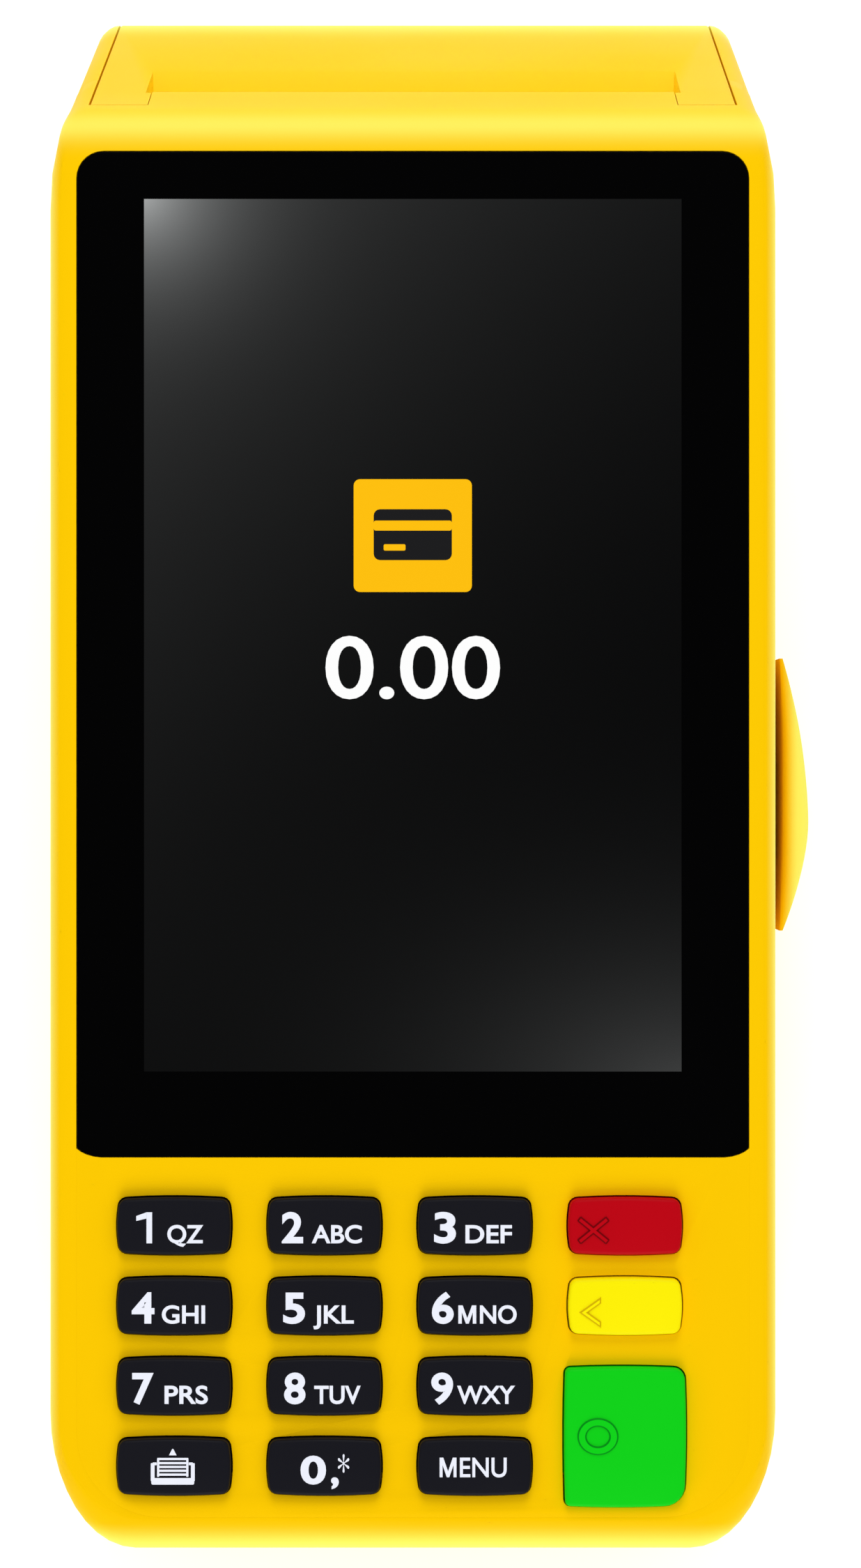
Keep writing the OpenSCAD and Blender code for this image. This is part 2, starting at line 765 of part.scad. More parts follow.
module head_springs() {
  color(metal) on_slope() for (x = [-18, 0, 18]) translate([x, 3.2, -10.6]) rotate([-90, 0, 0]) difference() {
    cylinder(h = 1.9, r = 1.8);
    translate([0, 0, -1]) cylinder(h = 4, r = 1.3);
  }
}

module tear_bar() {
  teeth = 36;
  pitch = 2 * (slot_w - 0.8) / teeth;
  color(metal) on_slope() translate([0, slot_u + 0.1, 0]) rotate([90, 0, 0]) mirror([0, 0, 1])
    linear_extrude(0.5) polygon(concat(
      [[-slot_w + 0.8, -5]],
      [for (i = [0:teeth - 1]) each [
        [-slot_w + 0.8 + i * pitch, -1], [-slot_w + 0.8 + (i + 0.5) * pitch, -0.35]
      ]],
      [[slot_w - 0.8, -1], [slot_w - 0.8, -5]]
    ));
}

module paper_bucket() {
  bucket_r = bay_r + bucket_t;
  end_x = 29.3;
  color(black) {
    difference() {
      rod([bay_y, bay_z], bucket_r, -end_x - 1, end_x + 1);
      rod([bay_y, bay_z], bay_r, -end_x, end_x);
      // open towards the door
      across(-40, 40) polygon([
        [58, -6], [60, -12], [66, -18], [72, -30], [64, bay_z - bay_r * 0.62],
        [66, -55], [90, -55], [90, 0], [58, 0]
      ]);
    }
    for (x = [-20, 18]) block([x, 49.5, -48.5], [x + 2, 54, bay_z - bay_r - 0.5]);
  }
}

module paper_roll() {
  color("#f4f3ee") difference() {
    rod([roll_y, roll_z], roll_r, -roll_w / 2, roll_w / 2);
    rod([roll_y, roll_z], 5.5, -roll_w, roll_w);
  }
}

// ---- Fasteners and feet ----

module case_screws() {
  color(metal) for (p = screw_posts) translate([p[0], p[1], -grip_depth + 1.2]) {
    difference() {
      cylinder(h = 1.9, r = 2.3);
      translate([0, 0, -1]) cylinder(h = 2, r = 1, $fn = 6);
    }
    cylinder(h = 19.5, r = 1.25);
  }
}

// Round pads whose undersides lie on the table
module feet(r, h) {
  for (x = [-28, 28], y = [foot_y + 1, 73]) translate([x, y, table_z(y)]) rotate([-face_tilt, 0, 0])
    cylinder(h = h, r = r);
}

module rubber_feet() {
  color("#2b2b2b") feet(4, 2.3);
}

// ---- Placing ----

module placed() {
  translate([shift_x, shift_y, shift_z]) rotate([face_tilt, 0, 0]) children();
}

placed() {
  front_housing();
  rear_housing();
  keypad_plate();
  display_glass();
  display_gasket();
  display_module();
  contactless_antenna();
  for (i = [0:13]) small_key(i, i == 3 ? red : i == 7 ? lemon : black);
  key_enter();
  keypad_spacer();
  keypad_board();
  key_domes();
  main_board();
  security_shield();
  radio_module();
  coin_cell();
  charge_port();
  chip_reader();
  chip_contacts();
  stripe_head();
  stripe_spring();
  power_button();
  speaker();
  battery_pack();
  battery_contacts();
  battery_cover();
  paper_door();
  door_hinge_pin();
  platen_roller();
  platen_shaft();
  platen_gear();
  platen_bushes();
  printer_frame();
  thermal_head();
  head_springs();
  printer_motor();
  motor_pinion();
  idler_gear_large();
  idler_gear_small();
  tear_bar();
  paper_bucket();
  paper_roll();
  case_screws();
  board_screws();
  rubber_feet();
}
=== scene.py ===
"""Looks of a portable card payment terminal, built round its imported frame.

Each piece is modelled in the face frame, in millimetres: X across, Y from the keypad end
to the printer end, Z out of the face, with the face at zero. FACE carries it into place.
"""

import json
import math

import bmesh
import bpy
from mathutils import Matrix, Vector


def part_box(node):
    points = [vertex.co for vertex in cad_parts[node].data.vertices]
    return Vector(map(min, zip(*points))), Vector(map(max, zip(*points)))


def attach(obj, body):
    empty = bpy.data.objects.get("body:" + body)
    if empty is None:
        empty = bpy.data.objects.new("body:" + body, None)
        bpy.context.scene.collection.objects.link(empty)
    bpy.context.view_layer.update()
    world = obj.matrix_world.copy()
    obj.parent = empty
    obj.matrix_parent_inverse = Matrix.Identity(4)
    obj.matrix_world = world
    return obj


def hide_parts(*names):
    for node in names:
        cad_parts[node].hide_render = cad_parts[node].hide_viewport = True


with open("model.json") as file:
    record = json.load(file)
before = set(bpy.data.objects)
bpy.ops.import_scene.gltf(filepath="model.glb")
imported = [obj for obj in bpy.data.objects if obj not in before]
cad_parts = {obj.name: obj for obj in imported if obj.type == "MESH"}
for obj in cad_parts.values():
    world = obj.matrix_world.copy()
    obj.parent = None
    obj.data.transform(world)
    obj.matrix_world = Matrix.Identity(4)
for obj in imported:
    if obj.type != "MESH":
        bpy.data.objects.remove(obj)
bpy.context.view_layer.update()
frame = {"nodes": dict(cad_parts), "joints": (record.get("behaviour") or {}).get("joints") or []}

bl_info = {
    "name": "Card Payment Terminal",
    "version": (1, 0, 0),
    "blender": (4, 5, 0),
    "location": "3D Viewport > Sidebar > Terminal",
    "description": "Builds the case, keypad, screen and printer door of a card payment terminal",
    "category": "Object",
}

MM = 0.001

# Where the face lies: its lean is read from a key's travel, its place from the cover lens
PRESS = Vector(next(j["axis"] for j in frame["joints"] if j["name"] == "key_1_press"))
LEAN = math.asin(PRESS.y)
LENS_LOW, LENS_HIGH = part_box("display_glass")
LENS_NEAR, LENS_FAR, LENS_TOP = -41.0, 69.5, -0.1
SIDE_SHIFT = (LENS_LOW.x + LENS_HIGH.x) / 2 / MM
LONG_SHIFT = LENS_LOW.y / MM - LENS_NEAR * math.cos(LEAN) + LENS_TOP * math.sin(LEAN)
LIFT = LENS_HIGH.z / MM - LENS_FAR * math.sin(LEAN) - LENS_TOP * math.cos(LEAN)
FACE = (
    Matrix.Translation(Vector((SIDE_SHIFT, LONG_SHIFT, LIFT)) * MM)
    @ Matrix.Rotation(LEAN, 4, "X")
    @ Matrix.Diagonal((MM, MM, MM, 1))
)

# Outer form
HALF_WIDTH = 40.3
NEAR_END = -85.4
SPLIT = -15.0
BACK = -29.5
RAMP_START = 14.0
FOOT = -71.0
DOOR_SLOPE = math.radians(65.7)
SLOPE_Y, SLOPE_Z = 75.4, -4.0
FOLD_RADIUS = 4.5
FOLD_START = SLOPE_Y + SLOPE_Z / math.tan(DOOR_SLOPE) - FOLD_RADIUS * math.tan(DOOR_SLOPE / 2)
TAIL_RADIUS = 11.0
TAIL_LENGTH = 40.5
TAIL_Y = SLOPE_Y + TAIL_LENGTH * math.cos(DOOR_SLOPE) - TAIL_RADIUS * math.sin(DOOR_SLOPE)
TAIL_Z = SLOPE_Z - TAIL_LENGTH * math.sin(DOOR_SLOPE) - TAIL_RADIUS * math.cos(DOOR_SLOPE)
HINGE_REACH, HINGE_TURN = 8.4, math.radians(-38)
HINGE_Y = TAIL_Y + HINGE_REACH * math.cos(HINGE_TURN)
HINGE_Z = TAIL_Z + HINGE_REACH * math.sin(HINGE_TURN)
DOOR_HALF = 35.9
SLOT_HALF = 29.5
LIP = 6.3
RAMP_FAR = 16.7
PICTURE_HALF, PICTURE_TALL, PICTURE_Y = 29.55, 95.9, 16.35
BAY_HALF = 36.05
CARD_SLOT_HALF = 27.5
CARD_SLOT_TALL = 1.9
DOOR_THICK = 2.0
DOOR_GAP = 0.15
SLOT_BACK = LIP + 1.6
WALL_FAR = 110.0
KNUCKLE_RADIUS = 2.4
PIN_RADIUS = 1.03
END_ROUND = 6.0
PLATE = 1.6
FACE_CORNER = 9.4
PLATE_HALF, PLATE_NEAR, PLATE_FAR = 37.0, -80.6, -41.06
LENS_HALF, LENS_CORNER = 36.9, 2.9
FRONT_CORNER = 16.0

FACE_FRAME = Matrix.Translation(FACE.translation) @ Matrix.Rotation(LEAN, 4, "X")

# Door frame: X across, Y down the slope, Z out of the door
SLOPE = Matrix.Translation((0, SLOPE_Y, SLOPE_Z)) @ Matrix.Rotation(-DOOR_SLOPE, 4, "X")


def slope_far(z):
    """How far the sloping end reaches at a depth below the face."""
    fold_end = FOLD_START + FOLD_RADIUS * math.sin(DOOR_SLOPE)
    fold_depth = FOLD_RADIUS * (1 - math.cos(DOOR_SLOPE))
    if -z < fold_depth:
        angle = math.acos(1 + z / FOLD_RADIUS)
        return FOLD_START + FOLD_RADIUS * math.sin(angle)
    return fold_end + (-z - fold_depth) / math.tan(DOOR_SLOPE)


def bay_floor(y):
    return BACK - (y - FOOT) * math.tan(LEAN)


# ---- Mesh helpers ----


def arc(cx, cy, rx, ry, start, end, steps):
    """Points on part of an ellipse, angles in degrees."""
    angles = [math.radians(start + (end - start) * i / steps) for i in range(steps + 1)]
    return [(cx + rx * math.cos(a), cy + ry * math.sin(a)) for a in angles]


def prism(points, low, high):
    """A closed solid: an outline of (x, y) points raised from one level to another."""
    bm = bmesh.new()
    face = bm.faces.new([bm.verts.new((x, y, low)) for x, y in points])
    raised = bmesh.ops.extrude_face_region(bm, geom=[face])["geom"]
    tops = [v for v in raised if isinstance(v, bmesh.types.BMVert)]
    bmesh.ops.translate(bm, verts=tops, vec=(0, 0, high - low))
    return outward(bm)


def across(points, low, high):
    """A closed solid: an outline of (y, z) points drawn out across the body."""
    bm = prism(points, low, high)
    bm.transform(Matrix(((0, 0, 1, 0), (1, 0, 0, 0), (0, 1, 0, 0), (0, 0, 0, 1))))
    return outward(bm)


def block(low, high):
    bm = bmesh.new()
    size = [b - a for a, b in zip(low, high)]
    middle = [(a + b) / 2 for a, b in zip(low, high)]
    bmesh.ops.create_cube(bm, size=1, matrix=Matrix.Translation(middle) @ Matrix.Diagonal((*size, 1)))
    return bm


def rod(y, z, radius, low, high, sides=32):
    return across(arc(y, z, radius, radius, 0, 360, sides)[:-1], low, high)


def post(x, y, radius, low, high, sides=24):
    return prism(arc(x, y, radius, radius, 0, 360, sides)[:-1], low, high)


def rounded(x0, x1, y0, y1, near, far, steps=6):
    """Outline of a rectangle with its own corner radius, or (across, along) pair, at each end."""
    nx, ny = near if isinstance(near, tuple) else (near, near)
    fx, fy = far if isinstance(far, tuple) else (far, far)
    return (
        arc(x1 - nx, y0 + ny, nx, ny, -90, 0, steps)
        + arc(x1 - fx, y1 - fy, fx, fy, 0, 90, steps)
        + arc(x0 + fx, y1 - fy, fx, fy, 90, 180, steps)
        + arc(x0 + nx, y0 + ny, nx, ny, 180, 270, steps)
    )


def barrel(w, h, bow, radii, steps=5):
    """Outline of a key whose sides swell, with a radius for each corner from lower right, turning left."""
    hx, hy = w / 2 - bow, h / 2 - bow
    corners = [(hx, -hy), (hx, hy), (-hx, hy), (-hx, -hy)]
    points = []
    for i, (x, y) in enumerate(corners):
        r = radii[i]
        sx, sy = (1 if x > 0 else -1), (1 if y > 0 else -1)
        points += arc(x - sx * r, y - sy * r, r, r, -90 + 90 * i, 90 * i, steps)
        ahead = corners[(i + 1) % 4]
        run = Vector((ahead[0] - x, ahead[1] - y))
        begin, end = radii[i] / run.length, 1 - radii[(i + 1) % 4] / run.length
        out = Vector((run.y, -run.x)).normalized()
        for t in (0.2, 0.4, 0.6, 0.8):
            share = begin + (end - begin) * t
            swell = bow * (1 - (2 * t - 1) ** 2)
            points.append(tuple(Vector((x, y)) + run * share + out * swell))
    return points


def joined(parts):
    """Several meshes as one, still separate shells."""
    bm = bmesh.new()
    for part in parts:
        mesh = bpy.data.meshes.new("part")
        part.to_mesh(mesh)
        part.free()
        bm.from_mesh(mesh)
        bpy.data.meshes.remove(mesh)
    return bm


def combined(solid, tools, operation="DIFFERENCE"):
    """The solid with each tool cut from it, or added to it."""
    made = []
    for part in [solid, *tools]:
        if part.calc_volume(signed=True) < 0:
            bmesh.ops.reverse_faces(part, faces=part.faces)
        mesh = bpy.data.meshes.new("tool")
        part.to_mesh(mesh)
        part.free()
        made.append(bpy.data.objects.new("tool", mesh))
        bpy.context.scene.collection.objects.link(made[-1])
    for tool in made[1:]:
        step = made[0].modifiers.new("step", "BOOLEAN")
        step.solver = "EXACT"
        step.operation = operation
        step.object = tool
    bpy.context.view_layer.update()
    shaped = made[0].evaluated_get(bpy.context.evaluated_depsgraph_get())
    bm = bmesh.new()
    bm.from_mesh(shaped.data)
    for o in made:
        mesh = o.data
        bpy.data.objects.remove(o)
        bpy.data.meshes.remove(mesh)
    if not bm.faces:
        raise RuntimeError("a cut left nothing of the solid")
    return bm


def piece(bm, name, body, nodes, materials, sharp=32.0):
    """Puts a finished mesh in its place and hangs it on its body."""
    bm.transform(FACE)
    bmesh.ops.remove_doubles(bm, verts=bm.verts, dist=2e-7)
    bmesh.ops.dissolve_degenerate(bm, edges=bm.edges, dist=1e-7)
    mesh = bpy.data.meshes.new(name)
    bm.to_mesh(mesh)
    bm.free()
    for material in materials:
        mesh.materials.append(material)
    mesh.shade_smooth()
    mesh.set_sharp_from_angle(angle=math.radians(sharp))
    made = bpy.data.objects.new(name, mesh)
    bpy.context.scene.collection.objects.link(made)
    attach(made, body)
    if nodes:
        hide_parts(*nodes)
    return made


def outward(bm):
    """The same mesh with its faces turned outwards."""
    bmesh.ops.recalc_face_normals(bm, faces=bm.faces)
    return bm


def grow(bm, ring, targets):
    """Draws the next ring out of an open ring of edges and moves it to its targets."""
    edges = [bm.edges.get((ring[i - 1], ring[i])) for i in range(len(ring))]
    made = bmesh.ops.extrude_edge_only(bm, edges=edges)["geom"]
    fresh = {v for v in made if isinstance(v, bmesh.types.BMVert)}
    after = []
    for v in ring:
        after.append(next(e.other_vert(v) for e in v.link_edges if e.other_vert(v) in fresh))
    for v, target in zip(after, targets):
        v.co = target
    return after


def walled(rings):
    """Walls through rings of points that match one to one, with the first and the last ring."""
    bm = bmesh.new()
    first = [bm.verts.new(p) for p in rings[0]]
    for i in range(len(first)):
        bm.edges.new((first[i - 1], first[i]))
    ring = first
    for targets in rings[1:]:
        ring = grow(bm, ring, targets)
    return bm, first, ring


def lofted(rings, ladder=False):
    """A closed solid through rings. Its ends are single faces, or rungs between its two sides."""
    bm, first, last = walled(rings)
    count = len(first)
    for end in (first, last):
        if not ladder:
            bm.faces.new(end)
            continue
        for i in range(count // 2 - 1):
            bm.faces.new((end[i], end[i + 1], end[count - 2 - i], end[count - 1 - i]))
    return outward(bm)


# ---- Materials ----


def group(name, inputs, outputs):
    """An empty shader group with named sockets, and its input and output nodes."""
    tree = bpy.data.node_groups.new(name, "ShaderNodeTree")
    for label, kind, value in inputs:
        socket = tree.interface.new_socket(label, in_out="INPUT", socket_type=kind)
        socket.default_value = value
    for label, kind in outputs:
        tree.interface.new_socket(label, in_out="OUTPUT", socket_type=kind)
    return tree, tree.nodes.new("NodeGroupInput"), tree.nodes.new("NodeGroupOutput")


def sum_node(tree, operation, a, b, clamp=False):
    node = tree.nodes.new("ShaderNodeMath")
    node.operation = operation
    node.use_clamp = clamp
    for i, value in enumerate((a, b)):
        if value is None:
            continue
        if isinstance(value, (int, float)):
            node.inputs[i].default_value = value
        else:
            tree.links.new(value, node.inputs[i])
    return node.outputs[0]


def face_coordinates(tree):
    """Places on the face in millimetres, read from the object's own coordinates."""
    place = tree.nodes.new("ShaderNodeTexCoord")
    level = tree.nodes.new("ShaderNodeMapping")
    level.vector_type = "TEXTURE"
    level.inputs["Location"].default_value = FACE.translation
    level.inputs["Rotation"].default_value = (LEAN, 0, 0)
    level.inputs["Scale"].default_value = (MM, MM, MM)
    tree.links.new(place.outputs["Object"], level.inputs["Vector"])
    return level.outputs["Vector"]


def colours_between(tree, factor, first, second):
    """A colour that runs from the first to the second as the factor rises."""
    tone = tree.nodes.new("ShaderNodeMix")
    tone.data_type = "RGBA"
    tone.inputs["A"].default_value = (*first, 1)
    tone.inputs["B"].default_value = (*second, 1)
    tree.links.new(factor, tone.inputs["Factor"])
    return tone.outputs["Result"]


def ramp_between(tree, value, low, high, strength):
    """Rises smoothly from nothing to a strength between two places."""
    step = tree.nodes.new("ShaderNodeMapRange")
    step.interpolation_type = "SMOOTHSTEP"
    step.inputs["From Min"].default_value = low
    step.inputs["From Max"].default_value = high
    step.inputs["To Max"].default_value = strength
    tree.links.new(value, step.inputs["Value"])
    return step.outputs["Result"]


def band(tree, value, middle, width, strength):
    """A soft band round one place."""
    off = sum_node(tree, "MULTIPLY", sum_node(tree, "SUBTRACT", value, middle), 1 / width)
    fall = sum_node(tree, "MULTIPLY", sum_node(tree, "MULTIPLY", off, off), -1.0)
    return sum_node(tree, "MULTIPLY", sum_node(tree, "EXPONENT", fall, None), strength)


def painted_highlight_group():
    """Painted highlight: where the case is paler along its rounded edges, from its place on the face frame.
    """
    tree, given, out = group(
        "Painted Edge Highlights", [("Amount", "NodeSocketFloat", 1.0)], [("Mask", "NodeSocketFloat")],
    )
    apart = tree.nodes.new("ShaderNodeSeparateXYZ")
    tree.links.new(face_coordinates(tree), apart.inputs["Vector"])
    x, y, z = apart.outputs["X"], apart.outputs["Y"], apart.outputs["Z"]
    wide = sum_node(tree, "ABSOLUTE", x, None)
    near_top = -9.5, -3.5, 1.0
    # painted highlights on the side shoulders, the keypad end roll, the guard's outer band, the fold and the
    # tail bend
    shoulder = sum_node(
        tree, "MULTIPLY", ramp_between(tree, wide, 38.8, 40.5, 0.75), ramp_between(tree, z, *near_top),
    )
    heel = sum_node(
        tree, "MULTIPLY", ramp_between(tree, y, -81.2, -84.4, 0.66), ramp_between(tree, z, *near_top),
    )
    rim = ramp_between(tree, z, -24.0, -13.0, 1.0)
    guard = sum_node(tree, "MULTIPLY", ramp_between(tree, x, 42.0, 43.6, 0.8), rim)
    # painted highlight band along the fold between the face and the paper door's slope
    fold = band(tree, y, 72.5, 1.7, 0.62)
    tail = ramp_between(tree, y, 80.0, 86.0, 1.0)
    bend = sum_node(tree, "MULTIPLY", band(tree, z, -43.0, 4.2, 0.72), tail)
    mask = shoulder
    for part in (heel, guard, fold, bend):
        mask = sum_node(tree, "MAXIMUM", mask, part)
    tree.links.new(sum_node(tree, "MULTIPLY", mask, given.outputs["Amount"]), out.inputs["Mask"])
    return tree


def grain_group():
    """Fine moulded texture: a height for the bump and a mask of polished spots."""
    tree, given, out = group(
        "Moulded Grain",
        [("Cells per metre", "NodeSocketFloat", 3000.0), ("Drift per metre", "NodeSocketFloat", 40.0)],
        [("Height", "NodeSocketFloat"), ("Polish", "NodeSocketFloat"), ("Drift", "NodeSocketFloat")],
    )
    place = tree.nodes.new("ShaderNodeTexCoord")
    fine = tree.nodes.new("ShaderNodeTexNoise")
    fine.inputs["Detail"].default_value = 3.0
    fine.inputs["Roughness"].default_value = 0.6
    broad = tree.nodes.new("ShaderNodeTexNoise")
    broad.inputs["Detail"].default_value = 2.0
    polish_and_painted_highlight = tree.nodes.new("ShaderNodeMapRange")
    polish_and_painted_highlight.inputs["From Min"].default_value = 0.35
    polish_and_painted_highlight.inputs["From Max"].default_value = 0.7
    tree.links.new(place.outputs["Object"], fine.inputs["Vector"])
    tree.links.new(place.outputs["Object"], broad.inputs["Vector"])
    tree.links.new(given.outputs["Cells per metre"], fine.inputs["Scale"])
    tree.links.new(given.outputs["Drift per metre"], broad.inputs["Scale"])
    tree.links.new(broad.outputs["Fac"], polish_and_painted_highlight.inputs["Value"])
    tree.links.new(fine.outputs["Fac"], out.inputs["Height"])
    tree.links.new(polish_and_painted_highlight.outputs["Result"], out.inputs["Polish"])
    tree.links.new(broad.outputs["Fac"], out.inputs["Drift"])
    return tree


def fresh_material(name):
    made = bpy.data.materials.new(name)
    made.use_nodes = True
    shader = made.node_tree.nodes["Principled BSDF"]
    return made, made.node_tree, shader


def moulded(
    name, colour, shade, rough=0.45, spread=0.12, cells=3000.0, depth=0.02, gloss=0.3, drift=40.0,
    metallic=0.0,
):
    """A moulded or plated surface: drifting tone, uneven polish and a fine grain."""
    made, tree, shader = fresh_material(name)
    grain = tree.nodes.new("ShaderNodeGroup")
    grain.node_tree = bpy.data.node_groups["Moulded Grain"]
    grain.inputs["Cells per metre"].default_value = cells
    grain.inputs["Drift per metre"].default_value = drift
    tone = colours_between(tree, grain.outputs["Drift"], shade, colour)
    tree.links.new(tone, shader.inputs["Base Color"])
    polish = tree.nodes.new("ShaderNodeMapRange")
    polish.inputs["To Min"].default_value = rough + spread / 2
    polish.inputs["To Max"].default_value = rough - spread / 2
    tree.links.new(grain.outputs["Polish"], polish.inputs["Value"])
    tree.links.new(polish.outputs["Result"], shader.inputs["Roughness"])
    bump = tree.nodes.new("ShaderNodeBump")
    bump.inputs["Strength"].default_value = 0.35
    bump.inputs["Distance"].default_value = depth * MM
    tree.links.new(grain.outputs["Height"], bump.inputs["Height"])
    tree.links.new(bump.outputs["Normal"], shader.inputs["Normal"])
    shader.inputs["Specular IOR Level"].default_value = gloss
    shader.inputs["Metallic"].default_value = metallic
    return made


def glow(tree, x, y, at, reach, strength):
    """A patch of light that fades away from a point, slower across than along where reach says so."""
    off_x = sum_node(tree, "MULTIPLY", sum_node(tree, "SUBTRACT", x, at[0]), 1 / reach[0])
    off_y = sum_node(tree, "MULTIPLY", sum_node(tree, "SUBTRACT", y, at[1]), 1 / reach[1])
    square = sum_node(
        tree, "ADD", sum_node(tree, "MULTIPLY", off_x, off_x), sum_node(tree, "MULTIPLY", off_y, off_y),
    )
    fall = sum_node(tree, "MULTIPLY", sum_node(tree, "SQRT", square, None), -1.0)
    return sum_node(tree, "MULTIPLY", sum_node(tree, "EXPONENT", fall, None), strength)


def shell_material(looks):
    """The case's moulded yellow, with a painted highlight that makes it paler along its rounded edges."""
    body = tuple(looks.body_colour)
    made = moulded(
        "shell_yellow", body, tuple(c * 0.975 for c in body), 0.4, 0.1, looks.grain_cells, 0.012, 0.02,
    )
    tree = made.node_tree
    shader = tree.nodes["Principled BSDF"]
    # painted highlight: the edge mask mixes a pale colour into the base colour
    polish_and_painted_highlight = tree.nodes.new("ShaderNodeGroup")
    polish_and_painted_highlight.node_tree = bpy.data.node_groups["Painted Edge Highlights"]
    polish_and_painted_highlight.inputs["Amount"].default_value = looks.painted_highlight_amount
    painted_highlight_mix = tree.nodes.new("ShaderNodeMix")
    painted_highlight_mix.data_type = "RGBA"
    tree.links.new(polish_and_painted_highlight.outputs["Mask"], painted_highlight_mix.inputs["Factor"])
    tree.links.new(shader.inputs["Base Color"].links[0].from_socket, painted_highlight_mix.inputs["A"])
    painted_highlight_mix.inputs["B"].default_value = (*looks.painted_highlight_colour, 1)
    tree.links.new(painted_highlight_mix.outputs["Result"], shader.inputs["Base Color"])
    return made


def lens_material():
    """Polished cover lens: a black printed border and the lit picture behind it."""
    made, tree, shader = fresh_material("lens_black")
    apart = tree.nodes.new("ShaderNodeSeparateXYZ")
    tree.links.new(face_coordinates(tree), apart.inputs["Vector"])
    x, y = apart.outputs["X"], apart.outputs["Y"]
    away = sum_node(
        tree, "ADD",
        sum_node(tree, "ABSOLUTE", sum_node(tree, "ADD", x, 30.5), None),
        sum_node(tree, "ABSOLUTE", sum_node(tree, "SUBTRACT", y, 65.5), None),
    )
    haze = sum_node(tree, "EXPONENT", sum_node(tree, "MULTIPLY", away, -1 / 33), None)
    light = sum_node(tree, "ADD", sum_node(tree, "MULTIPLY", haze, 0.046), 0.0004)
    for spot in (((-30.5, 65.5), (4.9, 4.9), 0.45), ((31.0, -34.0), (15.3, 9.5), 0.056)):
        light = sum_node(tree, "ADD", light, glow(tree, x, y, *spot))
    in_x = sum_node(tree, "LESS_THAN", sum_node(tree, "ABSOLUTE", x, None), PICTURE_HALF)
    in_y = sum_node(
        tree, "LESS_THAN",
        sum_node(tree, "ABSOLUTE", sum_node(tree, "SUBTRACT", y, PICTURE_Y), None), PICTURE_TALL / 2,
    )
    light = sum_node(tree, "MULTIPLY", light, sum_node(tree, "MULTIPLY", in_x, in_y))
    tint = tree.nodes.new("ShaderNodeCombineColor")
    tree.links.new(sum_node(tree, "MULTIPLY", light, 0.97), tint.inputs["Red"])
    tree.links.new(light, tint.inputs["Green"])
    tree.links.new(light, tint.inputs["Blue"])
    tree.links.new(tint.outputs["Color"], shader.inputs["Emission Color"])
    shader.inputs["Emission Strength"].default_value = 1.0
    shader.inputs["Base Color"].default_value = (0.0006, 0.0006, 0.0007, 1)
    shader.inputs["Specular IOR Level"].default_value = 0.012
    smear = tree.nodes.new("ShaderNodeTexNoise")
    smear.inputs["Scale"].default_value = 90.0
    smear.inputs["Detail"].default_value = 4.0
    place = tree.nodes.new("ShaderNodeTexCoord")
    tree.links.new(place.outputs["Object"], smear.inputs["Vector"])
    rough = tree.nodes.new("ShaderNodeMapRange")
    rough.inputs["To Min"].default_value = 0.05
    rough.inputs["To Max"].default_value = 0.16
    tree.links.new(smear.outputs["Fac"], rough.inputs["Value"])
    tree.links.new(rough.outputs["Result"], shader.inputs["Roughness"])
    return made


def lit_material(name, colour, strength=1.0):
    """A lit patch of the picture, with the faint unevenness of a backlight."""
    made, tree, shader = fresh_material(name)
    place = tree.nodes.new("ShaderNodeTexCoord")
    uneven = tree.nodes.new("ShaderNodeTexNoise")
    uneven.inputs["Scale"].default_value = 60.0
    tree.links.new(place.outputs["Object"], uneven.inputs["Vector"])
    tone = colours_between(tree, uneven.outputs["Fac"], [c * 0.97 for c in colour], colour)
    tree.links.new(tone, shader.inputs["Emission Color"])
    shader.inputs["Emission Strength"].default_value = strength
    shader.inputs["Base Color"].default_value = (0.0, 0.0, 0.0, 1)
    shader.inputs["Specular IOR Level"].default_value = 0.1
    shader.inputs["Roughness"].default_value = 0.15
    return made


def board_material():
    """Green solder mask with pale tracks and gold pads."""
    made, tree, shader = fresh_material("board_green")
    where = face_coordinates(tree)
    tracks = tree.nodes.new("ShaderNodeTexBrick")
    tracks.inputs["Scale"].default_value = 0.45
    tracks.inputs["Mortar Size"].default_value = 0.03
    tracks.inputs["Color1"].default_value = (0.012, 0.09, 0.03, 1)
    tracks.inputs["Color2"].default_value = (0.016, 0.11, 0.038, 1)
    tracks.inputs["Mortar"].default_value = (0.05, 0.22, 0.09, 1)
    tree.links.new(where, tracks.inputs["Vector"])
    dots = tree.nodes.new("ShaderNodeTexVoronoi")
    dots.inputs["Scale"].default_value = 0.35
    tree.links.new(where, dots.inputs["Vector"])
    pads = sum_node(tree, "LESS_THAN", dots.outputs["Distance"], 0.16)
    tone = tree.nodes.new("ShaderNodeMix")
    tone.data_type = "RGBA"
    tone.inputs["B"].default_value = (0.75, 0.55, 0.22, 1)
    tree.links.new(pads, tone.inputs["Factor"])
    tree.links.new(tracks.outputs["Color"], tone.inputs["A"])
    tree.links.new(tone.outputs["Result"], shader.inputs["Base Color"])
    tree.links.new(
        sum_node(tree, "SUBTRACT", 0.45, sum_node(tree, "MULTIPLY", pads, 0.2)), shader.inputs["Roughness"],
    )
    tree.links.new(pads, shader.inputs["Metallic"])
    return made


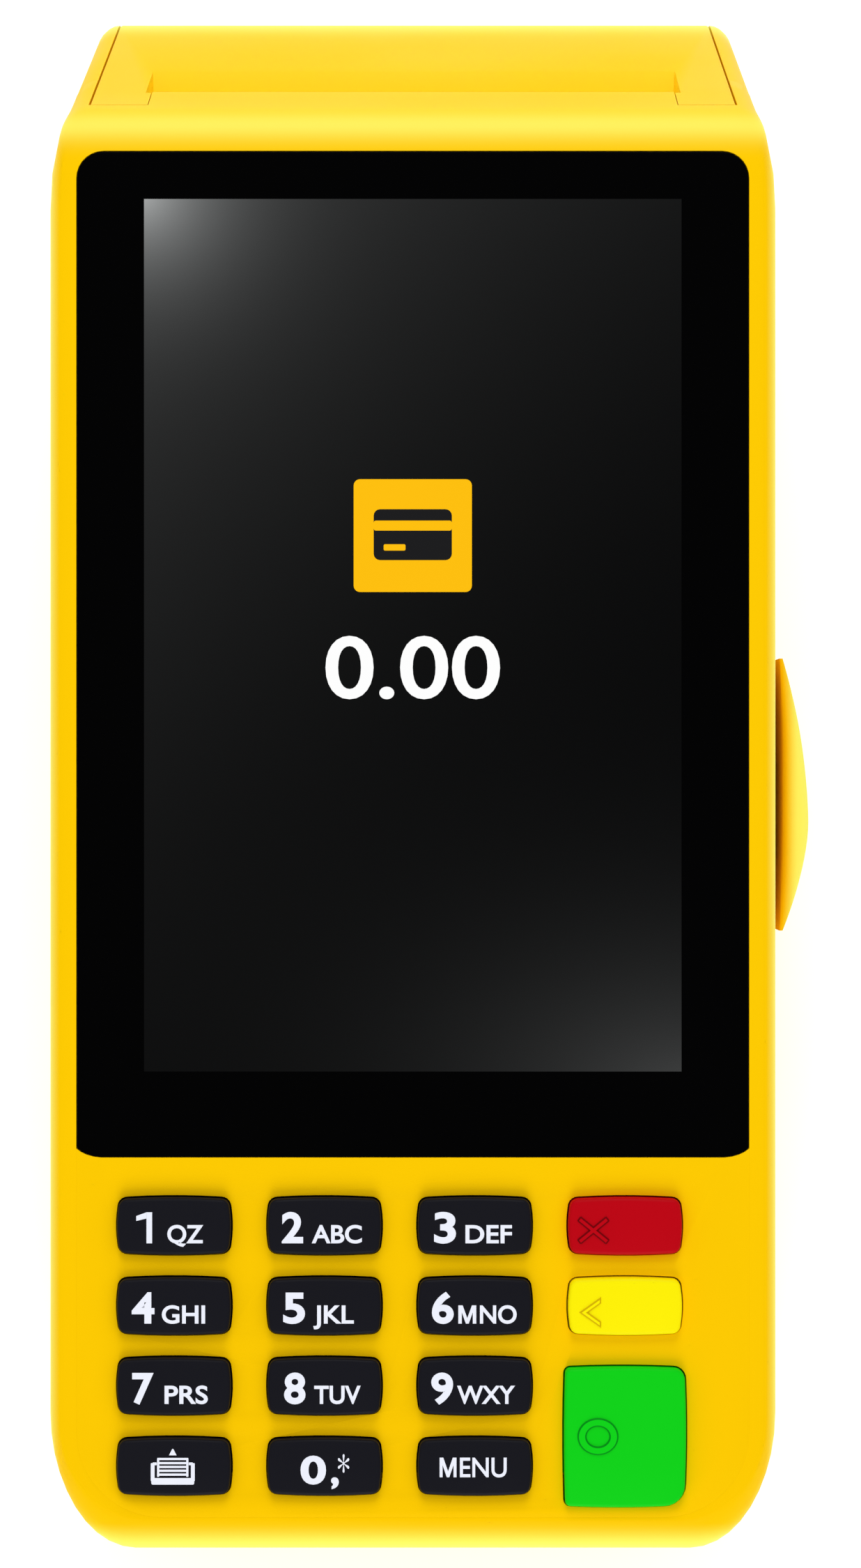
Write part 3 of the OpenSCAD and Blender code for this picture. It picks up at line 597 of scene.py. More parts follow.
def paper_material():
    """White thermal paper, with its turns showing on the ends of the roll."""
    made, tree, shader = fresh_material("paper_white")
    low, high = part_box("paper_roll")
    place = tree.nodes.new("ShaderNodeTexCoord")
    centre = tree.nodes.new("ShaderNodeMapping")
    centre.inputs["Location"].default_value = -(low + high) / 2
    tree.links.new(place.outputs["Object"], centre.inputs["Vector"])
    turns = tree.nodes.new("ShaderNodeTexWave")
    turns.wave_type = "RINGS"
    turns.rings_direction = "X"
    turns.inputs["Scale"].default_value = 520.0
    turns.inputs["Distortion"].default_value = 0.6
    tree.links.new(centre.outputs["Vector"], turns.inputs["Vector"])
    tone = colours_between(tree, turns.outputs["Fac"], (0.78, 0.77, 0.73), (0.93, 0.92, 0.89))
    tree.links.new(tone, shader.inputs["Base Color"])
    bump = tree.nodes.new("ShaderNodeBump")
    bump.inputs["Distance"].default_value = 0.00003
    tree.links.new(turns.outputs["Fac"], bump.inputs["Height"])
    tree.links.new(bump.outputs["Normal"], shader.inputs["Normal"])
    shader.inputs["Roughness"].default_value = 0.7
    return made


MOULDED = {
    # name, colour, shade, roughness, its spread, grain cells and depth, gloss, drift, metal
    "key_black": (
        "key_black", (0.0085, 0.0085, 0.0125), (0.0072, 0.0072, 0.0108), 0.4, 0.12, 4200, 0.01, 0.05, 90,
    ),
    "key_red": ("key_red", (0.52, 0.0, 0.006), (0.48, 0.0, 0.005), 0.45, 0.1, 4200, 0.01, 0.05, 90),
    "key_yellow": ("key_yellow", (1.0, 0.88, 0.0), (0.98, 0.87, 0.0), 0.45, 0.1, 4200, 0.01, 0.05, 90),
    "key_green": ("key_green", (0.004, 0.66, 0.009), (0.003, 0.63, 0.008), 0.45, 0.1, 4200, 0.01, 0.05, 90),
    # darker copies of the coloured keys' colours: painted shade on the slopes of their raised marks
    "key_red_edge": ("key_red_shadow", (0.2, 0.0, 0.003), (0.16, 0.0, 0.002), 0.5, 0.1, 4200, 0.01, 0.05, 90),
    "key_yellow_edge": (
        "key_yellow_shadow", (0.72, 0.5, 0.0), (0.66, 0.45, 0.0), 0.5, 0.1, 4200, 0.01, 0.05, 90,
    ),
    "key_green_edge": (
        "key_green_shadow", (0.0, 0.3, 0.01), (0.0, 0.25, 0.008), 0.5, 0.1, 4200, 0.01, 0.05, 90,
    ),
    "ink": ("legend_white", (0.9, 0.92, 1.0), (0.82, 0.85, 0.97), 0.5, 0.1, 6000, 0.006, 0.2, 400),
    "black_plastic": (
        "black_plastic", (0.02, 0.02, 0.023), (0.014, 0.014, 0.016), 0.5, 0.14, 2600, 0.02, 0.35,
    ),
    "steel": ("bright_steel", (0.62, 0.63, 0.64), (0.52, 0.53, 0.54), 0.28, 0.12, 1500, 0.006, 0.5, 200, 1.0),
    "dark_steel": (
        "dark_steel", (0.2, 0.2, 0.21), (0.14, 0.14, 0.15), 0.42, 0.16, 1500, 0.012, 0.5, 160, 1.0,
    ),
    "brass": ("contact_brass", (0.82, 0.6, 0.26), (0.7, 0.5, 0.2), 0.3, 0.12, 1500, 0.006, 0.5, 200, 1.0),
    "gear": ("gear_plastic", (0.82, 0.79, 0.7), (0.74, 0.7, 0.6), 0.4, 0.1, 2400, 0.01, 0.4),
    "rubber": ("rubber_black", (0.018, 0.018, 0.018), (0.012, 0.012, 0.012), 0.75, 0.12, 1800, 0.05, 0.25),
    "wrap": ("battery_wrap", (0.03, 0.034, 0.045), (0.022, 0.024, 0.03), 0.36, 0.1, 900, 0.02, 0.4),
    "film": ("spacer_film", (0.7, 0.7, 0.64), (0.6, 0.6, 0.55), 0.25, 0.1, 900, 0.01, 0.5),
}


def make_finishes(looks):
    """Every material of the terminal, by name."""
    grain_group()
    painted_highlight_group()
    made = {use: moulded(*finish) for use, finish in MOULDED.items()}
    made["shell"] = shell_material(looks)
    made["lens"] = lens_material()
    made["icon"] = lit_material("picture_amber", (1.0, 0.527, 0.0))
    made["figures"] = lit_material("picture_white", (1.0, 1.0, 1.0))
    made["icon_dark"] = lit_material("picture_dark", (0.008, 0.008, 0.009))
    made["board"] = board_material()
    made["paper"] = paper_material()
    return made


FINISH = {}


# ---- Case ----

FRONT_RINGS = [
    # level, half width, near end, far end, near corner, far corner, narrows towards the door
    (-14.9, 38.2, -83.2, None, (7.5, 14), (1.2, 2), True),
    (-3.3, 38.2, -82.2, None, (7.5, 12), (1.2, 2), True),
    (-3.3, 33.0, -76.0, 66.4, (6, 6), (2, 2), False),
    (-1.75, 33.0, -76.0, 66.4, (6, 6), (2, 2), False),
    (-1.75, 37.0, -80.6, 69.6, (9.4, 9.4), (3, 3), False),
    (0.0, 37.0, -80.6, 69.6, (9.4, 9.4), (3, 3), False),
    (0.0, 38.72, -80.75, 70.55, (9.4, 10.5), (2.9, 3.4), True),
    (-0.03, 38.8, -81.0, 71.2, (9.4, 10.8), (2.9, 3.4), True),
    (-0.2, 39.02, -81.4, 72.0, (9.4, 11.4), (2.8, 3.3), True),
    (-0.47, 39.24, -81.9, 72.68, (9.4, 12.2), (2.7, 3.2), True),
    (-1.02, 39.62, -82.75, 73.55, (9.4, 13.1), (2.6, 3.1), True),
    (-1.77, 39.93, -83.5, 74.26, (9.4, 13.9), (2.6, 3), True),
    (-2.65, 40.12, -84.15, 74.79, (9.4, 14.6), (2.6, 3), True),
    (-4.0, 40.26, -84.75, None, (9.4, 15.3), (2.6, 3), True),
    (-5.6, HALF_WIDTH, -85.15, None, (9.4, 15.7), (2.6, 3), True),
    (-8.0, HALF_WIDTH, NEAR_END, None, (9.4, 16), (2.6, 3), True),
    (-11.5, HALF_WIDTH, NEAR_END, None, (9.4, 16), (2.6, 3), True),
    (-14.88, HALF_WIDTH, NEAR_END, None, (9.4, 16), (2.6, 3), True),
    (-15.0, HALF_WIDTH - 0.12, NEAR_END + 0.12, None, (9.4, 16), (2.6, 3), True),
]


def narrowing(y):
    """How much the sides draw in beside the paper door."""
    t = min(max((y - 65.0) / 11.5, 0.0), 1.0)
    return 1.62 * t * t * (3 - 2 * t)


# Where the points of a level ring stand along the side wall, closer where the sides draw in
SIDE_SHARES = (0, 0.2, 0.4, 0.6, 0.75, 0.84, 0.88, 0.91, 0.94, 0.97, 1)


def case_ring(level, half, near, far, near_corner, far_corner, narrows, inner=False):
    """One level ring round the case, as points that run the same way at every level."""
    if far is None:
        far = slope_far(level) - (2.2 if inner else 0.0)
    (na, nb), (fa, fb) = near_corner, far_corner
    low, high = near + nb, far - fb
    side = [low + (high - low) * t for t in SIDE_SHARES]

    def width(y):
        return half - (narrowing(y) if narrows else 0.0)

    points = [(width(y), y) for y in side]
    end = width(high)
    for turn in range(12, 91, 13):
        a = math.radians(turn)
        y = high + fb * math.sin(a)
        points.append((end - fa + fa * math.cos(a) - (end - width(y)), y))
    edge = points[-1][0]
    points += [(edge * t, far) for t in (0.8, 0.6, 0.4, 0.2, 0)]
    corner = []
    for turn in range(0, 90, 9):
        a = math.radians(turn)
        corner.append((half - na + na * math.sin(a), near + nb - nb * math.cos(a)))
    start = [(corner[0][0] * t, near) for t in (0, 0.25, 0.5, 0.75)]
    right = start + corner + points
    left = [(-x, y) for x, y in reversed(right[1:-1])]
    return [(x, y, level) for x, y in right + left]


def front_case_solid():
    """The front case in rings: up its inside to the recess in the face, then down its outside."""
    bm, first, last = walled([case_ring(*r, inner=(i < 2)) for i, r in enumerate(FRONT_RINGS)])
    for i in range(len(first)):
        bm.faces.new((last[i - 1], last[i], first[i], first[i - 1]))
    return outward(bm)


def door_opening(depth):
    """The U-shaped way through the case for the paper door, with the lip left standing in it."""
    half, end = DOOR_HALF + DOOR_GAP, 44
    lip = SLOT_HALF - 0.1
    outline = [(-half, 0), (-lip, 0), (-lip, LIP), (lip, LIP), (lip, 0), (half, 0), (half, end), (-half, end)]
    tool = prism(outline, -depth, 6)
    tool.transform(SLOPE)
    return tool


def case_side_holes():
    """The ways through the left wall for the power key and the charging inlet."""
    wall = -HALF_WIDTH - 1, -HALF_WIDTH + 5
    power = across(rounded(24.9, 35.1, -10.6, -7.4, 1.5, 1.5), *wall)
    inlet = across(rounded(-9.6, -0.4, -14.1, -10.6, 1.6, 1.6), *wall)
    return [power, inlet]


UNDERSIDE = [
    (NEAR_END, BACK), (RAMP_START - 3, BACK), (RAMP_START, BACK - 0.45), (RAMP_START + 2.4, BACK - 2.4),
    (RAMP_START + 15.4, BACK - 15.4), (RAMP_START + 17.9, BACK - 17.7),
    (RAMP_START + 21.2, bay_floor(RAMP_START + 21.2)),
    (90.0, bay_floor(90.0)),
]


def underside(y):
    """Level of the underside, which steps down from the grip to the paper bay."""
    for (y0, z0), (y1, z1) in zip(UNDERSIDE, UNDERSIDE[1:]):
        if y <= y1:
            return z0 + (z1 - z0) * (y - y0) / (y1 - y0)
    return UNDERSIDE[-1][1]


def rear_case_solid():
    """The rear case in rings: down its straight walls, then round its lower edge and its tail."""
    start_z, last = SPLIT - 0.12, 62.0
    steps, wall_steps = 10, 6
    slope_end = 90 - math.degrees(DOOR_SLOPE)
    top_far = slope_far(SPLIT)
    tail = arc(TAIL_Y, TAIL_Z, TAIL_RADIUS, TAIL_RADIUS, slope_end, -90 - math.degrees(LEAN), steps)
    side_y = [
        -66, -52, -38, -24, -10, 2, 11, 12.5, 14, 15.2, 16.4, 20,
        24, 27, 29.4, 31.9, 33.5, 35.2, 44, 53, last,
    ]

    def ring(far_y, far_z, drop, turn):
        """drop runs 0 to 1 down the wall; turn is the angle round the lower edge."""
        tuck = END_ROUND * (1 - math.cos(turn))
        lift = END_ROUND * (1 - math.sin(turn))

        def low(y):
            end = underside(y) + lift
            return start_z + (end - start_z) * drop

        half = HALF_WIDTH - tuck
        points = []
        for i in range(11):
            a = math.radians(9 * i)
            y = NEAR_END + tuck + (FRONT_CORNER - tuck) * (1 - math.cos(a))
            points.append((half - FACE_CORNER + FACE_CORNER * math.sin(a), y, low(y)))
        points += [(half, y, low(y)) for y in side_y]
        corner = 3.0
        end_y = far_y - corner
        for share in (0.25, 0.5, 0.7, 0.85, 1):
            y = last + (end_y - last) * share
            part = (y - last) / (far_y - last)
            points.append((half - narrowing(y), y, low(last) * (1 - part) + far_z * part))
        for i in range(1, 7):
            a = math.radians(15 * i)
            y = end_y + corner * math.sin(a)
            part = (y - last) / (far_y - last)
            points.append(
                (half - narrowing(y) - 2.6 * (1 - math.cos(a)), y, low(last) * (1 - part) + far_z * part)
            )
        return points + [(-x, y, z) for x, y, z in reversed(points)]

    rings = [ring(top_far, start_z, 0, 0)]
    for i in range(1, wall_steps + 1):
        part = i / wall_steps
        far_y = top_far + (tail[0][0] - top_far) * part
        rings.append(ring(far_y, start_z + (tail[0][1] - start_z) * part, part, 0))
    for i in range(1, steps + 1):
        rings.append(ring(*tail[i], 1, math.radians(90 * i / steps)))
    return lofted(rings, True)


GUARD_SLOT_X, GUARD_X = 41.8, 44.8
GUARD_FAR, GUARD_NEAR, GUARD_MID = 21.4, -21.4, -4.4
GUARD_TOP, SLOT_FLOOR = -11.0, -26.5
GUARD_BEND, WALL_TIP = 1.7, 0.42
FOOT_ROUND = 1.6


def guard_out(y):
    """How far the guard reaches sideways: most just before its middle, nothing at its tips."""
    reach = GUARD_FAR - GUARD_MID if y > GUARD_MID else GUARD_MID - GUARD_NEAR
    return HALF_WIDTH + (GUARD_X - HALF_WIDTH) * max(0.0, 1 - (abs(y - GUARD_MID) / reach) ** GUARD_BEND)


def guard_foot():
    """The shelf that carries the guard and makes the floor of the swipe slot."""
    stations = [GUARD_NEAR + (GUARD_FAR - GUARD_NEAR) * i / 30 for i in range(31)]

    def ring(level, tuck):
        outer = [(max(guard_out(y) - tuck, HALF_WIDTH - 0.5), y, level) for y in stations]
        return outer + [(HALF_WIDTH - 1.6, y, level) for y in reversed(stations)]

    rings = []
    for turn in (90, 70, 50, 30, 12, 0):
        t = math.radians(turn)
        rings.append(ring(BACK + 0.02 + FOOT_ROUND * (1 - math.sin(t)), FOOT_ROUND * (1 - math.cos(t))))
    return lofted(rings + [ring(SLOT_FLOOR, 0.0)], True)


def guard_wall():
    """The guard itself, which thins towards its ends and has a rounded rim."""
    share = (1 - WALL_TIP) ** (1 / GUARD_BEND)
    low = GUARD_MID - share * (GUARD_MID - GUARD_NEAR)
    high = GUARD_MID + share * (GUARD_FAR - GUARD_MID)
    stations = [low + (high - low) * i / 30 for i in range(31)]

    def rim(y):
        end = high if y > 0 else low
        return GUARD_TOP - 6.5 * max(0.0, abs(y / end) - 0.3) ** 1.5

    def ring(part, turn):
        outer, inner = [], []
        for y in stations:
            half = (guard_out(y) - GUARD_SLOT_X) / 2
            round_r = min(1.0, half * 0.9)
            tuck = round_r * (1 - math.cos(turn))
            top = rim(y) - round_r
            level = SLOT_FLOOR - 0.5 + (top - SLOT_FLOOR + 0.5) * part + round_r * math.sin(turn)
            outer.append((guard_out(y) - tuck, y, level))
            inner.append((GUARD_SLOT_X + tuck, y, level))
        return outer + inner[::-1]

    rings = [ring(0, 0), ring(0.35, 0), ring(0.7, 0)]
    return lofted(rings + [ring(1, math.radians(d)) for d in (0, 15, 30, 45, 60, 75, 90)], True)


def card_slot(low, high):
    """The way in for a chip card, through the keypad end, between two levels."""
    return block((-CARD_SLOT_HALF, NEAR_END - 1, low), (CARD_SLOT_HALF, NEAR_END + 4, high))


def hinge_knuckle(low, high):
    return rod(HINGE_Y, HINGE_Z, KNUCKLE_RADIUS, low, high)


def knuckle_web(low, high):
    """The rib between a knuckle and the floor of the paper bay."""
    points = [
        (HINGE_Y, HINGE_Z), (HINGE_Y - KNUCKLE_RADIUS, HINGE_Z + 1.6), (82, -52.2), (82, -55.2),
        (HINGE_Y - 2.65, HINGE_Z - 4.24),
    ]
    return across(points, low, high)


SCREWS = [(-32.5, -74.0), (32.5, -74.0), (-34.2, 8.0), (34.2, 8.0)]
FEET = [(x, y) for x in (-28.0, 28.0) for y in (FOOT + 1, 73.0)]
CASE_KNUCKLES = [(-36.6, -29.2), (-15.0, 15.0), (29.2, 36.6)]
DOOR_KNUCKLES = [(-29.0, -15.2), (15.2, 29.0)]
BATTERY_HALF, BATTERY_NEAR, BATTERY_FAR = 27.8, -60.6, 9.6
COVER_HALF, COVER_NEAR, COVER_FAR = 30.3, -64.0, 12.0


def foot_frame(x, y):
    """Where a foot stands: its pad faces the table."""
    level = BACK - 1.4 - (y - FOOT) * math.tan(LEAN)
    return Matrix.Translation((x, y, level)) @ Matrix.Rotation(-LEAN, 4, "X")


def speaker_slots():
    slots = []
    for i in range(-3, 4):
        slot = prism(rounded(-0.7, 0.7, -4.6, 4.6, 0.65, 0.65, 4), -6, 6)
        place = Matrix.Translation((i * 3, RAMP_START + 8, BACK - 8))
        slot.transform(place @ Matrix.Rotation(math.radians(45), 4, "X"))
        slots.append(slot)
    return slots


def build_rear_case():
    bay = across(
        [
            (RAMP_START - 2, SPLIT + 1), (RAMP_START - 2, -24.7),
            (RAMP_START + 19.6, bay_floor(RAMP_START + 18.2) + 1.9),
            (79, bay_floor(79) + 2), (85.5, -53.2), (HINGE_Y, HINGE_Z), (WALL_FAR, HINGE_Z),
            (WALL_FAR, SPLIT + 1),
        ],
        -BAY_HALF, BAY_HALF,
    )
    room = prism(rounded(-38.2, 38.2, -83.2, RAMP_START - 1, (7.5, 13), 0.5), -21.5, SPLIT + 1)
    tools = [
        bay,
        rod(HINGE_Y, HINGE_Z, 3.5, -BAY_HALF, BAY_HALF),
        room,
        prism(rounded(-BATTERY_HALF, BATTERY_HALF, BATTERY_NEAR, BATTERY_FAR, 1.2, 1.2), -40, -19.3),
        prism(
            rounded(-COVER_HALF - 0.15, COVER_HALF + 0.15, COVER_NEAR - 0.15, COVER_FAR + 0.15, 2.6, 2.6),
            -40, BACK + 1.6,
        ),
        card_slot(SPLIT - CARD_SLOT_TALL / 2, SPLIT + 1),
        block((35.3, -8.4, -26), (40.6, 2.4, -16.5)),
    ]
    tools += speaker_slots()
    for x, y in SCREWS:
        tools.append(post(x, y, 2.6, -40, BACK + 3.2))
    for x, y in FEET:
        pocket = post(0, 0, 4.15, -2, 2.4, 40)
        pocket.transform(foot_frame(x, y))
        tools.append(pocket)
    solid = combined(rear_case_solid(), tools)
    bore = (HINGE_Y, HINGE_Z, PIN_RADIUS, -36.7, 36.7, 20)
    solid = combined(solid, [rod(*bore)])
    shells = [guard_foot(), guard_wall()]
    for a, b in CASE_KNUCKLES:
        web = knuckle_web(a + 0.5 * (a < -20), b - 0.5 * (b > 20))
        shells.append(combined(combined(hinge_knuckle(a, b), [web], "UNION"), [rod(*bore)]))
    return joined([solid, *shells])


def build_front_case():
    solid = front_case_solid()
    tools = [door_opening(30), *case_side_holes(), card_slot(SPLIT - 1, SPLIT + CARD_SLOT_TALL / 2)]
    return combined(solid, tools)


# ---- Face ----

KEY_ROWS = [
    # name, column, row
    ("1", 0, 0), ("2", 1, 0), ("3", 2, 0), ("cancel", 3, 0),
    ("4", 0, 1), ("5", 1, 1), ("6", 2, 1), ("clear", 3, 1),
    ("7", 0, 2), ("8", 1, 2), ("9", 2, 2),
    ("feed", 0, 3), ("0", 1, 3), ("menu", 2, 3),
]
LEGENDS = {
    # words, left edge from the middle of the key, width, capital height
    "1": [("1", -4.1, 1.8, 3.4), ("QZ", -0.7, 3.95, 2.0)],
    "2": [("2", -4.66, 2.35, 3.4), ("ABC", -1.37, 5.5, 2.0)],
    "3": [("3", -4.46, 2.4, 3.4), ("DEF", -1.02, 5.1, 2.0)],
    "4": [("4", -4.6, 2.5, 3.4), ("GHI", -1.3, 4.75, 2.0)],
    "5": [("5", -4.5, 2.4, 3.4), ("JKL", -1.2, 4.45, 2.0)],
    "6": [("6", -4.7, 2.4, 3.4), ("MNO", -1.8, 6.4, 2.0)],
    "7": [("7", -4.55, 2.35, 3.4), ("PRS", -1.0, 4.75, 2.0)],
    "8": [("8", -4.4, 2.35, 3.4), ("TUV", -1.1, 5.1, 2.0)],
    "9": [("9", -4.77, 2.4, 3.4), ("WXY", -1.94, 6.36, 2.0)],
    "0": [("0", -2.6, 2.8, 3.1), (",", 0.75, 0.85, 3.1), ("*", 1.5, 1.25, 3.1)],
    "menu": [("MENU", -3.85, 7.35, 2.15)],
}
KEY_FINISH = {"cancel": "key_red", "clear": "key_yellow", "enter": "key_green"}
ENTER_WIDTH, ENTER_HEIGHT, ENTER_ROW = 13.4, 15.35, 2.63


def key_outline(w, h, gap, sizes):
    r = sizes.key_corner + gap
    return barrel(w + 2 * gap, h + 2 * gap, sizes.key_bow, (r, r, r, r))


def enter_outline(w, h, gap):
    return barrel(w + 2 * gap, h + 2 * gap, 0.12, (2.3 + gap, 1.3 + gap, 0.6 + gap, 0.6 + gap), 6)


def key_places(sizes):
    """Name, centre, width and height of every key."""
    places = []
    for name, column, row in KEY_ROWS:
        x = sizes.first_key_x + column * sizes.key_pitch_x
        y = sizes.first_key_y - row * sizes.key_pitch_y
        places.append((name, x, y, sizes.key_width, sizes.key_height))
    x = sizes.first_key_x + 3 * sizes.key_pitch_x
    y = sizes.first_key_y - ENTER_ROW * sizes.key_pitch_y
    places.append(("enter", x, y, ENTER_WIDTH, ENTER_HEIGHT))
    return places


def shape_of(name, w, h, gap, sizes):
    return enter_outline(w, h, gap) if name == "enter" else key_outline(w, h, gap, sizes)


def key_solid(name, x, y, w, h, sizes):
    """A key cap with a rounded rim, on its flange and plunger."""
    rise = sizes.key_rise

    def level(shrink, z, scale=None):
        points = shape_of(name, w, h, -shrink, sizes)
        if scale:
            points = [(px * scale[0] / w, py * scale[1] / h) for px, py in points]
        return [(px + x, py + y, z) for px, py in points]

    rings = [
        level(0, -4.2, (6.4, 3.2)), level(0, -2.6, (6.4, 3.2)), level(-0.35, -2.6),
        level(-0.35, -PLATE - 0.15),
        level(0, -PLATE - 0.15), level(0, rise - 0.42),
        level(0.06, rise - 0.2), level(0.2, rise - 0.06), level(0.42, rise),
    ]
    return lofted(rings)


# Where the plate meets the lens their corners thin to a cusp: in from the side, along from the joint
CUSP = ((0, 1.0), (0.5, 0.62), (1.1, 0.33), (1.9, 0.1), (2.7, 0))


def mirrored(side):
    """A whole outline from its right-hand side."""
    return side + [(-x, y) for x, y in reversed(side)]


def plate_outline():
    corner = arc(PLATE_HALF - FACE_CORNER, PLATE_NEAR + FACE_CORNER, FACE_CORNER, FACE_CORNER, -90, 0, 10)
    return mirrored(corner + [(PLATE_HALF - inset, PLATE_FAR + rise) for inset, rise in CUSP])


def lens_outline():
    cusp = [(LENS_HALF - inset, LENS_NEAR + rise) for inset, rise in reversed(CUSP)]
    corner = arc(LENS_HALF - LENS_CORNER, LENS_FAR - LENS_CORNER, LENS_CORNER, LENS_CORNER, 0, 90, 8)
    return mirrored(cusp + corner)


def soften(bm, edges, width, segments):
    """Rounds some edges."""
    bmesh.ops.bevel(
        bm, geom=edges, offset=width, offset_type="OFFSET", segments=segments, profile=0.5,
        affect="EDGES", material=-1, clamp_overlap=True,
    )


def bevel_level(bm, level, width, segments=2):
    """Rounds the sharp edges that lie on one level."""
    edges = [
        e for e in bm.edges
        if all(abs(v.co.z - level) < 0.005 for v in e.verts) and len(e.link_faces) == 2
        and e.calc_face_angle(0) > 0.8
    ]
    soften(bm, edges, width, segments)


def build_keypad_plate(sizes):
    plate = prism(plate_outline(), -PLATE, 0)
    tools = []
    for name, x, y, w, h in key_places(sizes):
        tool = prism(shape_of(name, w, h, sizes.key_gap, sizes), -3, 1)
        bmesh.ops.translate(tool, verts=tool.verts, vec=(x, y, 0))
        tools.append(tool)
    plate = combined(plate, tools)
    bmesh.ops.dissolve_limit(plate, angle_limit=math.radians(0.5), verts=plate.verts, edges=plate.edges)
    bevel_level(plate, 0.0, 0.1, 2)
    return plate


def build_lens():
    lens = prism(lens_outline(), LENS_TOP - 1.2, LENS_TOP)
    bevel_level(lens, LENS_TOP, 0.12, 2)
    return lens


# ---- Legends and picture ----


def flat_text(words, bold):
    """A text curve turned into a flat mesh."""
    curve = bpy.data.curves.new("lettering", "FONT")
    curve.body = words
    curve.offset = bold
    curve.resolution_u = 6
    holder = bpy.data.objects.new("lettering", curve)
    bpy.context.scene.collection.objects.link(holder)
    bpy.context.view_layer.update()
    mesh = bpy.data.meshes.new_from_object(holder.evaluated_get(bpy.context.evaluated_depsgraph_get()))
    bpy.data.objects.remove(holder)
    bpy.data.curves.remove(curve)
    bm = bmesh.new()
    bm.from_mesh(mesh)
    bpy.data.meshes.remove(mesh)
    return bm


def span(bm, axis):
    values = [v.co[axis] for v in bm.verts]
    return min(values), max(values)


def letter_one(height, weight):
    """A figure one with its flag."""
    x = 0.42 * height
    return joined([
        prism(
            [(x - weight / 2, 0), (x + weight / 2, 0), (x + weight / 2, height), (x - weight / 2, height)],
            0, 1,
        ),
        prism(
            [
                (0, height * 0.72), (0, height * 0.88), (x - weight / 2 + 0.02, height),
                (x - weight / 2 + 0.02, height * 0.8),
            ],
            0, 1,
        ),
    ])


def set_text(words, left, base, height, level, thick, width=None, bold=0.02):
    """Lettering set with its left edge, base line and height, as wide as asked, raised from one level."""
    gauge = flat_text("H", bold)
    foot, head = span(gauge, 1)
    gauge.free()
    capital = head - foot
    bm = flat_text(words, bold)
    start, end = span(bm, 0)
    stretch = width / (end - start) if width else height / capital
    bmesh.ops.translate(bm, verts=bm.verts, vec=(-start, -foot, 0))
    bmesh.ops.scale(bm, verts=bm.verts, vec=(stretch, height / capital, 1))
    bmesh.ops.translate(bm, verts=bm.verts, vec=(left, base, level))
    return raised(bm, thick)


def letter_m(left, base, height, width, level, thick, weight):
    """A capital M from four strokes, cut square."""
    weight *= height
    outline = [
        (0, 0), (weight, 0), (weight, height * 0.62), (width / 2 - weight * 0.42, 0.0),
        (width / 2 + weight * 0.42, 0.0),
        (width - weight, height * 0.62), (width - weight, 0), (width, 0),
        (width, height), (width - weight * 1.25, height),
        (width / 2, height * 0.3), (weight * 1.25, height), (0, height),
    ]
    return prism([(left + x, base + y) for x, y in outline], level, level + thick)


def raised(bm, thick):
    """A flat mesh made solid by drawing it upwards."""
    for f in bm.faces:
        f.normal_update()
        if f.normal.z > 0:
            f.normal_flip()
    flat = list(bm.faces)
    made = bmesh.ops.extrude_face_region(bm, geom=flat)["geom"]
    tops = [v for v in made if isinstance(v, bmesh.types.BMVert)]
    bmesh.ops.translate(bm, verts=tops, vec=(0, 0, thick))
    return outward(bm)


def bar(x0, y0, x1, y1, width, low, high):
    """A straight stroke between two points."""
    run = Vector((x1 - x0, y1 - y0))
    bm = prism(
        rounded(-run.length / 2, run.length / 2, -width / 2, width / 2, width * 0.2, width * 0.2, 2),
        low, high,
    )
    turn = math.atan2(run.y, run.x)
    bm.transform(Matrix.Translation(((x0 + x1) / 2, (y0 + y1) / 2, 0)) @ Matrix.Rotation(turn, 4, "Z"))
    return bm


INK = 0.03


def embossed(bm, level):
    """Slopes the upper edges of a raised mark and gives its slopes the darker copy of the key colour, a
    painted shade.
    """
    bmesh.ops.dissolve_limit(bm, angle_limit=math.radians(0.5), verts=bm.verts, edges=bm.edges)
    bevel_level(bm, level, 0.16, 1)
    for f in bm.faces:
        f.normal_update()
        f.material_index = 0 if f.normal.z > 0.9 else 1
    return bm


def build_mark(name, x, y, top):
    """The raised cross, arrow or ring on a coloured key."""
    low, high = top - 0.02, top + 0.2
    if name == "cancel":
        cx, cy = x - 3.5, y - 0.4
        cross = combined(
            bar(cx - 1.6, cy - 1.3, cx + 1.6, cy + 1.3, 0.66, low, high),
            [bar(cx - 1.6, cy + 1.3, cx + 1.6, cy - 1.3, 0.66, low, high)], "UNION",
        )
        return embossed(cross, high)
    if name == "clear":
        cx, cy = x - 3.7, y - 0.6
        outline = [(-1.35, 0), (1.05, 1.7), (1.05, 1.0), (-0.35, 0), (1.05, -1.0), (1.05, -1.7)]
        return embossed(prism([(cx + px, cy + py) for px, py in outline], low, high), high)
    rings = []
    shoulder = high - 0.14
    for share, z in ((0, low), (0, shoulder), (0.16, high), (0.84, high), (1, shoulder), (1, low)):
        oval = arc(x - 3.0, y + 0.15, 2.25 - share, 2.02 - share * 0.92, 0, 360, 44)[:-1]
        rings.append([(px, py, z) for px, py in oval])
    bm = walled(rings)[0]
    bmesh.ops.bridge_loops(bm, edges=[e for e in bm.edges if len(e.link_faces) == 1])
    # the ring's slopes take the darker copy of the key colour: painted shade
    for f in outward(bm).faces:
        f.material_index = 0 if abs(f.normal.z) > 0.9 else 1
    return bm


